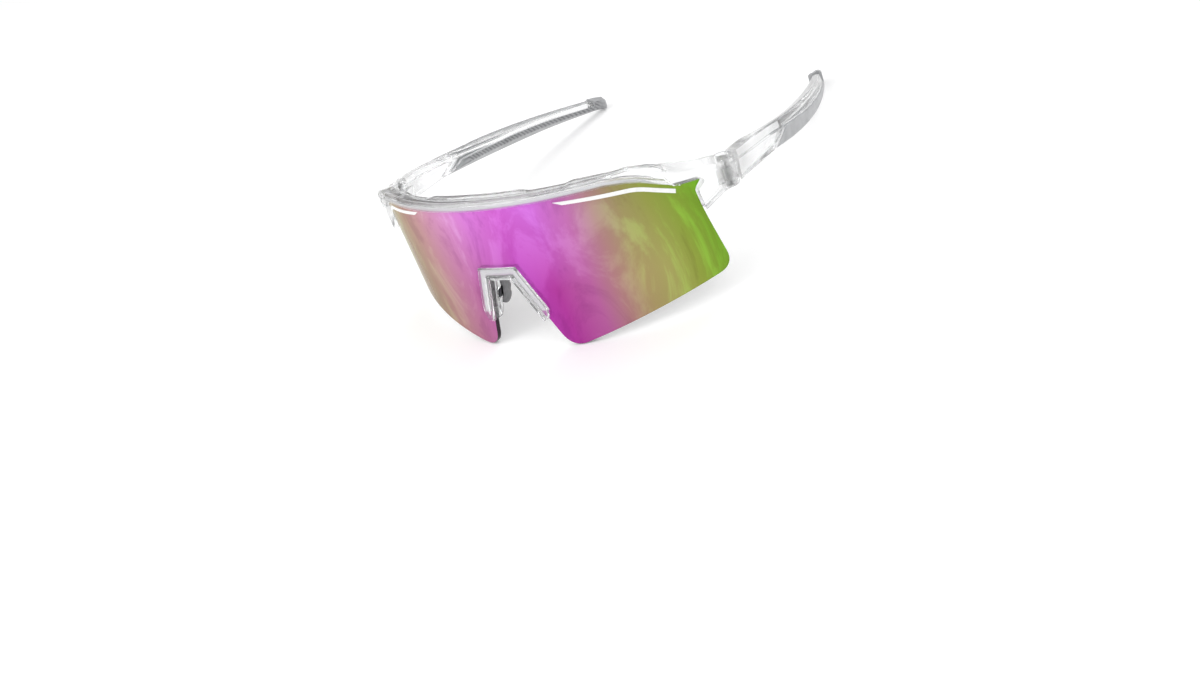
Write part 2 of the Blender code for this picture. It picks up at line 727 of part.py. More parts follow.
def bridge_section(depth, flange):
    """Channel section as (n, y): n away from the nose, y behind the lens face."""
    front = BRIDGE_FRONT
    back = LENS_THICK + GAP
    return (
        (0.0, front + FINE_BEVEL), (FINE_BEVEL, front), (flange - BEVEL, front), (flange, front + BEVEL),
        (flange, -GAP), (WEB, -GAP), (WEB, back), (flange - 1.2, back),
        (flange - 1.2, back + 0.7), (WEB, back + 0.9), (WEB, depth - 0.2), (WEB - 0.2, depth),
        (0.2, depth), (0.0, depth - 0.2),
    )


def leg_ring(z, depth, flange):
    """Section across the right leg, square to it, starting from its inner edge at height z."""
    s = nose_edge(z, 0.0)
    out_s = math.cos(LEG_ANGLE)
    out_z = math.sin(LEG_ANGLE)
    return [(s + n * out_s, y, z + n * out_z) for n, y in bridge_section(depth, flange)]


def corner_ring():
    """Mitred section where the right leg meets the saddle."""
    z = BRIDGE_TOP - FLANGE
    s = nose_edge(z, 0.0)
    slant = (BRIDGE_HALF_TOP - s) / FLANGE
    return [(s + n * slant, y, z + n) for n, y in bridge_section(WEB_DEPTH, FLANGE)]


def saddle_ring(s):
    z = BRIDGE_TOP - FLANGE
    return [(s, y, z + n) for n, y in bridge_section(WEB_DEPTH, FLANGE)]


def nose_bridge():
    right = [
        leg_ring(BRIDGE_FOOT - 1.2, WEB_DEPTH - 0.9, FLANGE - 2.0),
        leg_ring(BRIDGE_FOOT, WEB_DEPTH - 0.3, FLANGE - 1.0),
        leg_ring(BRIDGE_FOOT + 1.6, WEB_DEPTH, FLANGE - 0.2),
    ]
    right += [leg_ring(z, WEB_DEPTH, FLANGE) for z in spread(BRIDGE_FOOT + 4.0, BRIDGE_TOP - FLANGE - 2.4, 4)]
    right.append(corner_ring())
    right.append(saddle_ring(1.8))
    left = [[(-s, y, z) for s, y, z in ring] for ring in reversed(right)]
    rings = [[bent(*point) for point in ring] for ring in right + left]
    bridge = link("nose_bridge", skin(rings), CLEAR)
    for side, name in SIDES:
        notch = box((-0.9, -0.9, -PLATE_HALF - GAP), (0.8, 3.0, PLATE_HALF + GAP))
        boolean(bridge, make_cutter("bracket_notch_" + name, notch, pad_axis(side, "notch_" + name)))
    return bridge


def pad_axis(side, name):
    """An empty on the pad's swivel: local Z runs up the leg and local Y points back."""
    s = nose_edge(PAD_MIDDLE, WEB / 2.0)
    above = bent(side * nose_edge(PAD_MIDDLE + 1.0, WEB / 2.0), PAD_SWIVEL_Y, PAD_MIDDLE + 1.0)
    middle = bent(side * s, PAD_SWIVEL_Y, PAD_MIDDLE)
    up = (above - middle).normalized()
    back = (bent(side * s, PAD_SWIVEL_Y + 1.0, PAD_MIDDLE) - middle).normalized()
    across = back.cross(up).normalized()
    back = up.cross(across)
    axis = bpy.data.objects.new("pad_axis_" + name, None)
    PARTS.objects.link(axis)
    axis.parent = ROOT
    turn = Matrix((across, back, up)).transposed().to_4x4()
    axis.matrix_local = Matrix.Translation(middle * MM) @ turn
    return axis


def nose_pad(side, name):
    axis = pad_axis(side, name)
    turn = Matrix.Rotation(-side * PAD_TURN, 4, 'Z')
    half = PLATE_THICK / 2.0
    strip = box((-half, 0.0, -PLATE_HALF), (half, PLATE_REACH, PLATE_HALF))
    bmesh.ops.transform(strip, matrix=turn, verts=strip.verts)
    bracket = link("nose_pad_bracket_" + name, strip, DARK_STEEL, parent=axis)
    barrel = cylinder(BARREL_RADIUS, -PLATE_HALF, PLATE_HALF, steps=BARREL_STEPS)
    boolean(bracket, make_cutter("bracket_barrel_" + name, barrel, axis), 'UNION')
    bm = plate(pad_outline(), -PAD_THICK / 2.0, PAD_THICK / 2.0)
    bmesh.ops.rotate(bm, verts=bm.verts, matrix=Matrix.Rotation(math.pi / 2.0, 3, 'Z'))
    bmesh.ops.transform(bm, matrix=turn, verts=bm.verts)
    pad = link("nose_pad_" + name, bm, PAD, parent=axis)
    bevel = pad.modifiers.new("soft_edge", 'BEVEL')
    bevel.width = 0.6 * MM
    bevel.segments = 2
    bevel.limit_method = 'ANGLE'
    bevel.angle_limit = math.radians(60.0)
    half += GAP
    height = PLATE_HALF + GAP
    slot = box((-half, PLATE_SLOT_START, -height), (half, PLATE_REACH + GAP, height))
    bmesh.ops.transform(slot, matrix=turn, verts=slot.verts)
    boolean(pad, make_cutter("bracket_slot_" + name, slot, axis))


def pad_outline():
    """Pad seen from the side as (back, up): straight front edge, three scallops behind."""
    return rounded_outline([
        (PAD_FRONT, 5.4, 1.6), (PAD_FRONT, -5.6, 1.8), (PAD_FRONT + 3.0, -6.6, 1.5),
        (PAD_BACK - 0.3, -4.6, 1.2), (PAD_BACK - 0.9, -2.4, 0.5), (PAD_BACK, -1.4, 0.8),
        (PAD_BACK - 0.9, 0.6, 0.5), (PAD_BACK, 1.6, 0.8), (PAD_BACK - 0.9, 3.4, 0.5),
        (PAD_BACK - 0.3, 5.2, 1.2), (PAD_BACK - 2.4, 6.2, 1.2),
    ])


# ---------------------------------------------------------------- stance and assembly

def lowest(obj, lean):
    """Lowest height of an object's own mesh once the glasses lean by the given angle."""
    turn = Matrix.Rotation(-lean, 3, 'X')
    offset = obj.parent.location if obj.parent is not ROOT else Vector()
    return min((turn @ (vert.co + offset)).z for vert in obj.data.vertices)


def set_stance():
    """Lean the glasses until lens and temple tips touch the ground, centred on the origin."""
    lens = bpy.data.objects["shield_lens"]
    grip = bpy.data.objects["temple_grip_right"]
    low = 0.0
    high = math.radians(30.0)
    for _ in range(40):
        lean = (low + high) / 2.0
        if lowest(grip, lean) > lowest(lens, lean):
            low = lean
        else:
            high = lean
    turn = Matrix.Rotation(-lean, 3, 'X')
    backs = []
    for name in ("shield_lens", "front_frame", "nose_bridge", "temple_grip_right"):
        obj = bpy.data.objects[name]
        offset = obj.parent.location if obj.parent is not ROOT else Vector()
        backs += [(turn @ (vert.co + offset)).y for vert in obj.data.vertices]
    ROOT.rotation_euler = (-lean, 0.0, 0.0)
    ROOT.location = (0.0, -(min(backs) + max(backs)) / 2.0, -lowest(lens, lean))


def build():
    shield_lens()
    front_frame()
    nose_bridge()
    for side, name in SIDES:
        nose_pad(side, name)
        axis = hinge_axis(side, name)
        hinge_screw(name, axis)
        hinge_sleeve(name, axis)
        hinge_nut(name, axis)
        temple(side, name, axis)
        temple_grip(side, name, axis)
    set_stance()


build()
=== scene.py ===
"""Looks for the wraparound shield sunglasses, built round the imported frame.

Shapes are worked out in the wearing frame, in millimetres: x to the side, y back from the lens
and z up.  The front is first drawn flat, as s along the brow, y behind the lens face and z up,
and then bent round the lens cylinder.  STANCE takes the wearing frame to the frame's own, where
the glasses lean forward on the lens's corners and the temple tips, in metres.
"""
import json
import math

import bmesh
import bpy
from mathutils import Matrix, Vector


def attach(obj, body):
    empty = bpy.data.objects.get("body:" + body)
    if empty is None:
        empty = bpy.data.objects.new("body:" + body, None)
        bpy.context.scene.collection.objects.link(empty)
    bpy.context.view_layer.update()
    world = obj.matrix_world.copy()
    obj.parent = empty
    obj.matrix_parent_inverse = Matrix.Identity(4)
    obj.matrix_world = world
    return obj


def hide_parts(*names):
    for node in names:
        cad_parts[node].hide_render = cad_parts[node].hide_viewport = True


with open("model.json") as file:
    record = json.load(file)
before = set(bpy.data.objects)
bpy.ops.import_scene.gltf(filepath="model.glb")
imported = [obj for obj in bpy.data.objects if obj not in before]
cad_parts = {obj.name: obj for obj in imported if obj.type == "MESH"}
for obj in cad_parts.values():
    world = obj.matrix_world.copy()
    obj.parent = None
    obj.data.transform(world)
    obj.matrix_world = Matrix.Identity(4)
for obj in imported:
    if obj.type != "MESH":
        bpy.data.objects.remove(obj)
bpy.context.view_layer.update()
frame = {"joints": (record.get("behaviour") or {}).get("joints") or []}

MM = 0.001
SIDES = ((-1, "left"), (1, "right"))

# The wearing frame, found from the right hinge's pin
HINGE = next(joint for joint in frame["joints"] if joint["name"] == "temple_right_fold")
PIN_X = HINGE["pos_m"][0] / MM
PIN_Y = 36.8
LEAN = math.atan2(HINGE["axis"][1], HINGE["axis"][2])
LEAN_TURN = Matrix.Rotation(-LEAN, 4, 'X')
STANCE_PLACE = Vector(HINGE["pos_m"]) - LEAN_TURN @ (Vector((PIN_X, PIN_Y, 0.0)) * MM)
STANCE = Matrix.Translation(STANCE_PLACE) @ LEAN_TURN

# Camera: direction, roll, distance and lens, looking at a point between the temples
CAMERA_AZIMUTH = math.radians(41.5585)
CAMERA_ELEVATION = math.radians(19.2575)
CAMERA_ROLL = math.radians(-19.4726)
CAMERA_DISTANCE = 0.45536
CAMERA_TARGET = Vector((0.0, 30.0, -15.0)) * MM
CAMERA_LENS = 42.86
CAMERA_SENSOR = 36.0
CAMERA_SHIFT = (0.0425, -0.093)
CAMERA_NEAR = 0.01

# Soft boxes as (name, place, size, power), in metres and watts, and the point that they face
SOFT_BOXES = (
    ("key", (-0.5, -0.5, 0.8), 0.6, 2.6),
    ("fill", (0.7, -0.2, 0.6), 0.5, 1.3),
    ("rim", (0.1, 0.8, 0.7), 0.6, 1.6),
)
LIGHT_TARGET = Vector((0.0, 0.0, 0.02))

# The surround's brightness by height, from 0 at the horizon to 1 overhead, what the camera sees
# of it, and the floor's half size in metres
SURROUND = (
    (0.0, 0.8), (0.045, 0.55), (0.055, 0.06), (0.08, 0.06), (0.09, 0.55), (0.18, 0.85), (0.75, 0.85),
    (1.0, 0.7),
)
BACKDROP = 0.93
FLOOR_SIZE = 6.0

# Lens and its cylinder
LENS_RADIUS = 86.0
LENS_LEAN = 0.08
LENS_THICK = 2.0
LENS_TOP = 7.4
LENS_FOOT = -45.05
LENS_RIM = 0.25

# How far from its middle the lens's colours run
LENS_HALF = 70.0

# Strips that the front is cut into before it is bent, and how far out they go
STRIP = 1.2
STRIP_REACH = 72.0

# Clearances between pieces
POCKET_ROOM = 0.5
POCKET_AHEAD = 6.0
GAP = 0.3
RUNNING_GAP = 0.1

# Brow bar: a lip over the lens's top edge, a groove line and the bar itself
LIP_BOTTOM = 5.7
LIP_HEIGHT = 1.9
LIP_FRONT = -1.3
GROOVE_DEPTH = 0.8
BAR_FRONT = -2.2
BAR_REAR = 3.3
RIB_FRONT = 1.2
BAR_END = 64.5
BAR_STEP = 1.0
LIP_DROP = ((0.0, 0.0), (44.0, 0.0), (50.0, -0.8), (54.0, -1.9), (62.0, -5.6), (65.0, -7.0))
LIP_REACH = ((0.0, 0.0), (44.0, 0.0), (52.0, -0.5), (62.0, -0.7))
TOP_FRONT = ((0.0, 9.1), (33.0, 8.7), (35.0, 9.3), (43.0, 9.1), (52.0, 8.9), (58.0, 7.4), (65.0, 2.4))
TOP_REAR = ((0.0, 9.1), (33.0, 8.6), (35.0, 9.3), (48.0, 8.5), (52.0, 8.6), (58.0, 7.3), (65.0, 4.6))
RIB_HEIGHT = ((0.0, 0.8), (18.0, 0.8), (21.0, 0.0))
SCOOP = ((0.0, 0.0), (45.6, 0.0), (47.2, 2.3), (57.4, 2.3), (59.2, 0.0))
REAR_TAPER = ((0.0, 0.0), (59.0, 0.0), (63.0, 0.8))

# Side turn from the lens cylinder to the temple direction
TURN_START = 68.0
TURN_RADIUS = 22.0
TURN_HEADING = math.radians(86.0)
END_START = 59.0
END_STOP = 83.4
END_STEP = 0.8
END_REAR = 3.0
SLANT_START = 74.0
END_TOP = ((58.0, 6.8), (62.0, 4.6), (66.0, 2.9), (70.7, 1.8), (73.6, 1.5), (77.0, 1.1), (82.0, 0.8))
END_TOP_REAR = ((58.0, 7.0), (62.0, 6.4), (66.0, 5.4), (70.5, 4.1), (75.5, 3.3), (78.0, 2.6), (82.0, 1.2))
END_FOOT = (
    (58.0, 5.2), (62.0, 1.0), (66.0, -9.5), (67.5, -11.4), (70.1, -10.2), (73.3, -8.8), (76.5, -7.9),
    (82.0, -7.7),
)

# Hinge
LUG_RADIUS = 3.3
SEAM_SLANT = 0.27
LUG_TOP = 1.5
LUG_BOTTOM = -8.1
LUG_CLEARANCE = 0.4
KNUCKLE_RADIUS = 2.5
KNUCKLE_LOW = -6.0
KNUCKLE_HIGH = -2.0
SLOT_REACH_IN = 12.0
SLOT_REACH_BACK = 9.0
SCREW_RADIUS = 0.8
HEAD_RADIUS = 1.7
HEAD_HEIGHT = 0.9
HEAD_SEAT = -0.3
DRIVE_HALF_WIDTH = 0.2
DRIVE_DEPTH = 0.45
WEB_INSIDE = 1.6
WEB_OUTSIDE = 2.2
WEB_REACH = 1.6
SLEEVE_RADIUS = 1.4
SLEEVE_INSET = 0.1
NUT_RADIUS = 1.9
NUT_HEIGHT = 1.0
NUT_SIDES = 6
ROUND_STEPS = 64
OVERRUN = 1.0

# Temple stations: distance back, centre line out and half thickness, then the heights of the
# outer top, inner top, inner foot and outer foot edges and of the rims, outside and inside,
# below which the rubber lies further back
ARM_STATIONS = (
    (36.0, 67.4, 2.2, 1.7, 1.9, -7.2, -7.4, -0.7, -3.0),
    (48.0, 67.4, 2.2, 1.2, 1.3, -7.1, -7.8, -1.8, -3.5),
    (60.0, 67.1, 2.3, 0.1, -0.8, -6.9, -8.3, -2.8, -4.2),
    (72.0, 66.4, 2.5, -1.3, -2.6, -7.2, -9.8, -4.5, -5.2),
    (86.0, 64.5, 2.7, -2.7, -4.6, -8.0, -11.2, -6.7, -6.4),
    (100.0, 61.4, 2.6, -4.5, -6.2, -9.2, -12.4, -8.7, -7.6),
    (114.0, 57.1, 2.3, -6.6, -7.9, -10.9, -13.4, -10.4, -9.4),
    (127.0, 51.8, 2.0, -8.8, -9.8, -12.9, -14.6, -12.3, -11.6),
    (138.5, 46.4, 1.8, -11.0, -11.6, -15.0, -15.8, -14.2, -13.5),
)
ARM_FRONT = 39.7
ARM_END = 56.0
ARM_STEP = 1.0
LEDGE = 0.7
GRIP_START = 66.0
GRIP_START_Z = -6.2
GRIP_SLOPE = 2.5
GRIP_RUN = 5.0
GRIP_PROUD = 0.25
GRIP_TIP = 138.5
GRIP_STEP = 0.3
RING_LEAD = 2.0
CORE_TIP = 132.0
RUBBER_THICK = 1.0
TIP_START = GRIP_TIP - 3.6
TIP_CAP = 0.4
TIP_SLANT = 0.55
TIP_ROUNDING = ((0.9, 1.0), (0.5, 0.97), (0.22, 0.9), (0.06, 0.8), (0.0, 0.7))
NOTCH_HALF = 1.1
NOTCH_DEPTH = 0.9
NOTCH_AHEAD = 3.4
HATCH_DEPTH = 0.3
HATCH_PITCH = 1.5
HATCH_START = 69.0
HATCH_END = GRIP_TIP - 3.0
HATCH_FADE = 2.0
HATCH_RIM = 1.5
HATCH_SLANT = 0.9

# Points of a grip ring on each rounded corner and along the face turned to the head, and the
# run of them that the hatch is cut in
GRIP_CORNER = 6
GRIP_INNER_POINTS = 10
GRIP_FACE = range(2 * GRIP_CORNER, 4 * GRIP_CORNER + GRIP_INNER_POINTS - 2)

# Nose bridge channel and pads
BRIDGE_TOP = -14.4
BRIDGE_HALF_TOP = 7.2
BRIDGE_FOOT = -32.4
BRIDGE_SLOPE = 0.365
FLANGE = 4.1
WEB = 0.8
WEB_DEPTH = 3.9
BRIDGE_FRONT = -1.5
BRIDGE_FEET = ((-1.4, 1.1, 2.4), (-1.1, 0.8, 1.9), (-0.5, 0.5, 1.4), (0.4, 0.2, 0.8), (1.6, 0.0, 0.2))
LEG_ANGLE = math.atan(BRIDGE_SLOPE)
PAD_MIDDLE = -25.5
PAD_SWIVEL_Y = 3.3
PAD_TURN = math.radians(14.0)
PAD_THICK = 2.2
PAD_FRONT = 1.3
PAD_BACK = 6.6
PLATE_HALF = 1.6
PLATE_REACH = 3.6
PLATE_SLOT_START = 0.5
PLATE_THICK = 0.6
BARREL_RADIUS = 0.55

# Printed stripes on the lens: the line along their upper edge as (s, z), and their width
STRIPE_LINE = ((27.5, 4.4), (52.4, 2.7), (62.9, -1.8))
STRIPE_WIDTH = 1.3
STRIPE_PROUD = 0.06

# Alpha of the clear plastic near a hinge and away from it, and the distances from the hinge
# between which it changes
HINGE_ALPHA = 0.55
BODY_ALPHA = 0.9
HINGE_NEAR = 6.0
HINGE_FAR = 13.0

# What the lip's drop is divided by while a colour ramp carries it, and the film's colours along
# the lens at the top and at the bottom, as (s, sRGB).  These colours hold the film's own colour
# with painted reflection mixed in
DROP_SCALE = 10.0
FILM_AND_REFLECTION_TOP = (
    (-69, (150, 148, 100)), (-54, (172, 158, 126)), (-42, (194, 170, 148)), (-30, (202, 156, 164)),
    (-18, (210, 146, 190)), (-4, (214, 126, 214)), (8, (200, 96, 198)), (20, (202, 106, 210)),
    (30, (190, 112, 176)), (38, (166, 122, 128)), (46, (150, 140, 94)), (54, (138, 146, 68)),
    (62, (122, 150, 54)), (69, (106, 146, 40)),
)
FILM_AND_REFLECTION_LOW = (
    (-69, (152, 146, 104)), (-54, (166, 148, 120)), (-42, (178, 152, 134)), (-30, (188, 142, 148)),
    (-18, (188, 122, 160)), (-4, (180, 86, 164)), (8, (174, 62, 168)), (18, (172, 60, 152)),
    (29, (178, 94, 154)), (37, (170, 122, 124)), (45, (164, 146, 100)), (53, (160, 156, 92)),
    (61, (140, 154, 66)), (69, (116, 150, 50)),
)


# ---- mesh helpers

def skin(rings):
    """A closed loft through rings of equal length, with flat ends."""
    bm = bmesh.new()
    loops = [[bm.verts.new(point) for point in ring] for ring in rings]
    count = len(loops[0])
    for near, far in zip(loops, loops[1:]):
        for k in range(count):
            bm.faces.new((near[k], near[(k + 1) % count], far[(k + 1) % count], far[k]))
    bm.faces.new(list(reversed(loops[0])))
    bm.faces.new(loops[-1])
    bmesh.ops.recalc_face_normals(bm, faces=bm.faces)
    return bm


def soft(corners, steps=4):
    """An outline from (a, b, reach) corners, each rounded over its reach; a reach of 0 is sharp."""
    points = []
    count = len(corners)
    for k, (a, b, reach) in enumerate(corners):
        corner = Vector((a, b))
        if reach <= 0.0:
            points.append((a, b))
            continue
        before = Vector(corners[k - 1][:2]) - corner
        after = Vector(corners[(k + 1) % count][:2]) - corner
        start = corner + before.normalized() * min(reach, 0.48 * before.length)
        end = corner + after.normalized() * min(reach, 0.48 * after.length)
        for i in range(steps + 1):
            t = i / steps
            points.append(tuple(start * (1 - t) ** 2 + corner * 2 * t * (1 - t) + end * t ** 2))
    return points


def spread(start, end, step):
    """Evenly spaced values from start to end, about a step apart."""
    count = max(1, round(abs(end - start) / step))
    return [start + (end - start) * k / count for k in range(count + 1)]


def turned(profile, steps=ROUND_STEPS):
    """A solid of revolution about Z from (radius, z) points that start and end on the axis."""
    bm = bmesh.new()
    verts = [bm.verts.new((radius, 0.0, z)) for radius, z in profile]
    edges = [bm.edges.new(pair) for pair in zip(verts, verts[1:])]
    bmesh.ops.spin(bm, geom=verts + edges, cent=(0.0, 0.0, 0.0), axis=(0.0, 0.0, 1.0),
                   angle=math.tau, steps=steps)
    bmesh.ops.remove_doubles(bm, verts=bm.verts, dist=0.0001)
    bmesh.ops.recalc_face_normals(bm, faces=bm.faces)
    return bm


def cylinder(radius, low, high, steps=ROUND_STEPS, edge=0.0):
    """An upright cylinder between two heights, with rounded rims where edge is set."""
    if edge <= 0.0:
        bm = bmesh.new()
        place = Matrix.Translation((0.0, 0.0, (low + high) / 2.0))
        bmesh.ops.create_cone(bm, cap_ends=True, segments=steps, radius1=radius, radius2=radius,
                              depth=high - low, matrix=place)
        return bm
    outline = soft([(0.0, low, 0.0), (radius, low, edge), (radius, high, edge), (0.0, high, 0.0)])
    return turned(outline, steps)


def box(low, high):
    """A box between two corners."""
    bm = bmesh.new()
    size = Vector(high) - Vector(low)
    middle = (Vector(high) + Vector(low)) / 2.0
    bmesh.ops.create_cube(bm, size=1.0)
    bmesh.ops.scale(bm, vec=size, verts=bm.verts)
    bmesh.ops.translate(bm, vec=middle, verts=bm.verts)
    return bm


def transformed(bm, matrix):
    """Turn and move a bmesh."""
    bmesh.ops.transform(bm, matrix=matrix, verts=bm.verts)
    return bm


def for_side(bm, side):
    """Mirror a right-hand shape where the left one is wanted."""
    if side < 0:
        bmesh.ops.scale(bm, vec=(-1.0, 1.0, 1.0), verts=bm.verts)
        bmesh.ops.reverse_faces(bm, faces=bm.faces)
    return bm


def linked(name, data):
    """A new object in the scene."""
    obj = bpy.data.objects.new(name, data)
    bpy.context.scene.collection.objects.link(obj)
    return obj


def solid(name, bm):
    """A bmesh as an object, still in millimetres."""
    mesh = bpy.data.meshes.new(name)
    bm.to_mesh(mesh)
    bm.free()
    return linked(name, mesh)


def final_mesh(obj):
    """A copy of what an object looks like with its modifiers or curve settings."""
    evaluated = obj.evaluated_get(bpy.context.evaluated_depsgraph_get())
    return bpy.data.meshes.new_from_object(evaluated)


def bake(obj):
    """Apply an object's modifiers to its mesh."""
    mesh = final_mesh(obj)
    obj.modifiers.clear()
    old = obj.data
    obj.data = mesh
    bpy.data.meshes.remove(old)


def combine(obj, bm, operation='DIFFERENCE'):
    """Cut another shape out of an object, or join it on."""
    tool = solid("tool", bm)
    modifier = obj.modifiers.new("combine", 'BOOLEAN')
    modifier.operation = operation
    modifier.solver = 'EXACT'
    modifier.object = tool
    bake(obj)
    bpy.data.objects.remove(tool, do_unlink=True)


def round_edges(obj, width):
    """Round an object's sharp edges."""
    bevel = obj.modifiers.new("soft_edge", 'BEVEL')
    bevel.width = width
    bevel.segments = 2
    bevel.limit_method = 'ANGLE'
    bevel.angle_limit = math.radians(50.0)
    bake(obj)


def finish_piece(obj, body, replaced, materials, sharp=32.0, place=None):
    """Put a millimetre object in place, smooth it, give it materials and tie it to the frame."""
    obj.data.transform(STANCE @ Matrix.Scale(MM, 4) @ (place or Matrix.Identity(4)))
    obj.data.shade_smooth()
    obj.data.set_sharp_from_angle(angle=math.radians(sharp))
    for material in materials:
        obj.data.materials.append(material)
    normals = obj.modifiers.new("even_shading", 'WEIGHTED_NORMAL')
    normals.keep_sharp = True
    normals.weight = 80
    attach(obj, body)
    if replaced:
        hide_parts(*replaced)


# ---- bending the front

def brow_line(s):
    """Position and heading of the lens line in plan, past the lens turning towards the temple."""
    side = -1.0 if s < 0.0 else 1.0
    s = abs(s)
    turn_angle = TURN_START / LENS_RADIUS
    heading = min(s, TURN_START) / LENS_RADIUS
    x = LENS_RADIUS * math.sin(heading)
    y = LENS_RADIUS * (1.0 - math.cos(heading))
    if s > TURN_START:
        heading = min(turn_angle + (s - TURN_START) / TURN_RADIUS, TURN_HEADING)
        x += TURN_RADIUS * (math.sin(heading) - math.sin(turn_angle))
        y += TURN_RADIUS * (math.cos(turn_angle) - math.cos(heading))
        straight = s - TURN_START - TURN_RADIUS * (heading - turn_angle)
        x += straight * math.cos(heading)
        y += straight * math.sin(heading)
    return side * x, y, side * heading


def bent(s, y, z):
    """A point of the unrolled front, bent into place and leaned back."""
    x0, y0, heading = brow_line(s)
    x = x0 - y * math.sin(heading)
    back = y0 + y * math.cos(heading)
    return Vector((x, back - z * math.tan(LENS_LEAN), z))


def flat_plate(outline, front, rear, rim=0.0):
    """A flat plate in the unrolled front, from an outline in (s, z), with a rounded rim."""
    curve = bpy.data.curves.new("outline", 'CURVE')
    curve.dimensions = '2D'
    curve.fill_mode = 'BOTH'
    curve.extrude = (rear - front) / 2.0 - rim
    curve.bevel_depth = rim
    curve.bevel_resolution = 2
    curve.offset = -rim
    spline = curve.splines.new('POLY')
    spline.points.add(len(outline) - 1)
    for point, (s, z) in zip(spline.points, outline):
        point.co = (s, z, 0.0, 1.0)
    spline.use_cyclic_u = True
    holder = linked("outline", curve)
    mesh = final_mesh(holder)
    bm = bmesh.new()
    bm.from_mesh(mesh)
    bpy.data.objects.remove(holder, do_unlink=True)
    bpy.data.meshes.remove(mesh)
    bmesh.ops.remove_doubles(bm, verts=bm.verts, dist=0.0001)
    bmesh.ops.rotate(bm, verts=bm.verts, matrix=Matrix.Rotation(math.pi / 2.0, 3, 'X'))
    bmesh.ops.translate(bm, vec=(0.0, (front + rear) / 2.0, 0.0), verts=bm.verts)
    bmesh.ops.recalc_face_normals(bm, faces=bm.faces)
    return bm


def merge_strips(bm, strip):
    """Join the flat faces between two neighbouring cuts into one face."""
    loose = []
    for edge in bm.edges:
        places = [vert.co.x / strip for vert in edge.verts]
        on_cut = max(abs(place - round(places[0])) for place in places) < 0.0001
        faces = edge.link_faces
        if not on_cut and len(faces) == 2 and faces[0].normal.dot(faces[1].normal) > 0.99999:
            loose.append(edge)
    bmesh.ops.dissolve_edges(bm, edges=loose, use_verts=False, use_face_split=False)


def bend(bm, strip=STRIP):
    """Cut a flat piece into strips and bend it, keeping where its points were when it was flat."""
    count = int(STRIP_REACH / strip)
    for k in range(-count, count + 1):
        geometry = bm.verts[:] + bm.edges[:] + bm.faces[:]
        bmesh.ops.bisect_plane(bm, geom=geometry, dist=0.00001, plane_co=(k * strip, 0.0, 0.0),
                               plane_no=(1.0, 0.0, 0.0))
    bm.normal_update()
    merge_strips(bm, strip)
    along = bm.verts.layers.float.new("along")
    height = bm.verts.layers.float.new("height")
    depth = bm.verts.layers.float.new("depth")
    for vert in bm.verts:
        vert[along] = vert.co.x
        vert[height] = vert.co.z
        vert[depth] = vert.co.y
        vert.co = bent(*vert.co)
    bmesh.ops.recalc_face_normals(bm, faces=bm.faces)
    return bm


def reading(s, table):
    """Straight-line reading of a short table of (s, value)."""
    s = abs(s)
    for (s0, v0), (s1, v1) in zip(table, table[1:]):
        if s <= s1:
            return v0 + (v1 - v0) * max(0.0, (s - s0) / (s1 - s0))
    return table[-1][1]


def nose_edge(z, n):
    """Sideways place of a line that runs down the nose at distance n from the bridge's inside."""
    return BRIDGE_HALF_TOP + (BRIDGE_TOP - z) * BRIDGE_SLOPE - (FLANGE - n) / math.cos(LEG_ANGLE)


def eased(s, table, blur=0.9):
    """The same reading with its corners rounded over a short stretch."""
    reads = [reading(abs(s) + blur * k / 2.0, table) for k in (-2, -1, 0, 1, 2)]
    return sum(reads) / len(reads)


# ---- materials

def grey(value):
    """A linear grey."""
    return (value, value, value, 1.0)


def srgb(red, green, blue):
    """A colour picked on the usual 0 to 255 scale, as linear values."""
    linear = []
    for value in (red, green, blue):
        value /= 255.0
        linear.append(value / 12.92 if value <= 0.04045 else ((value + 0.055) / 1.055) ** 2.4)
    return (*linear, 1.0)


BLACK = grey(0.0)
WHITE = grey(1.0)


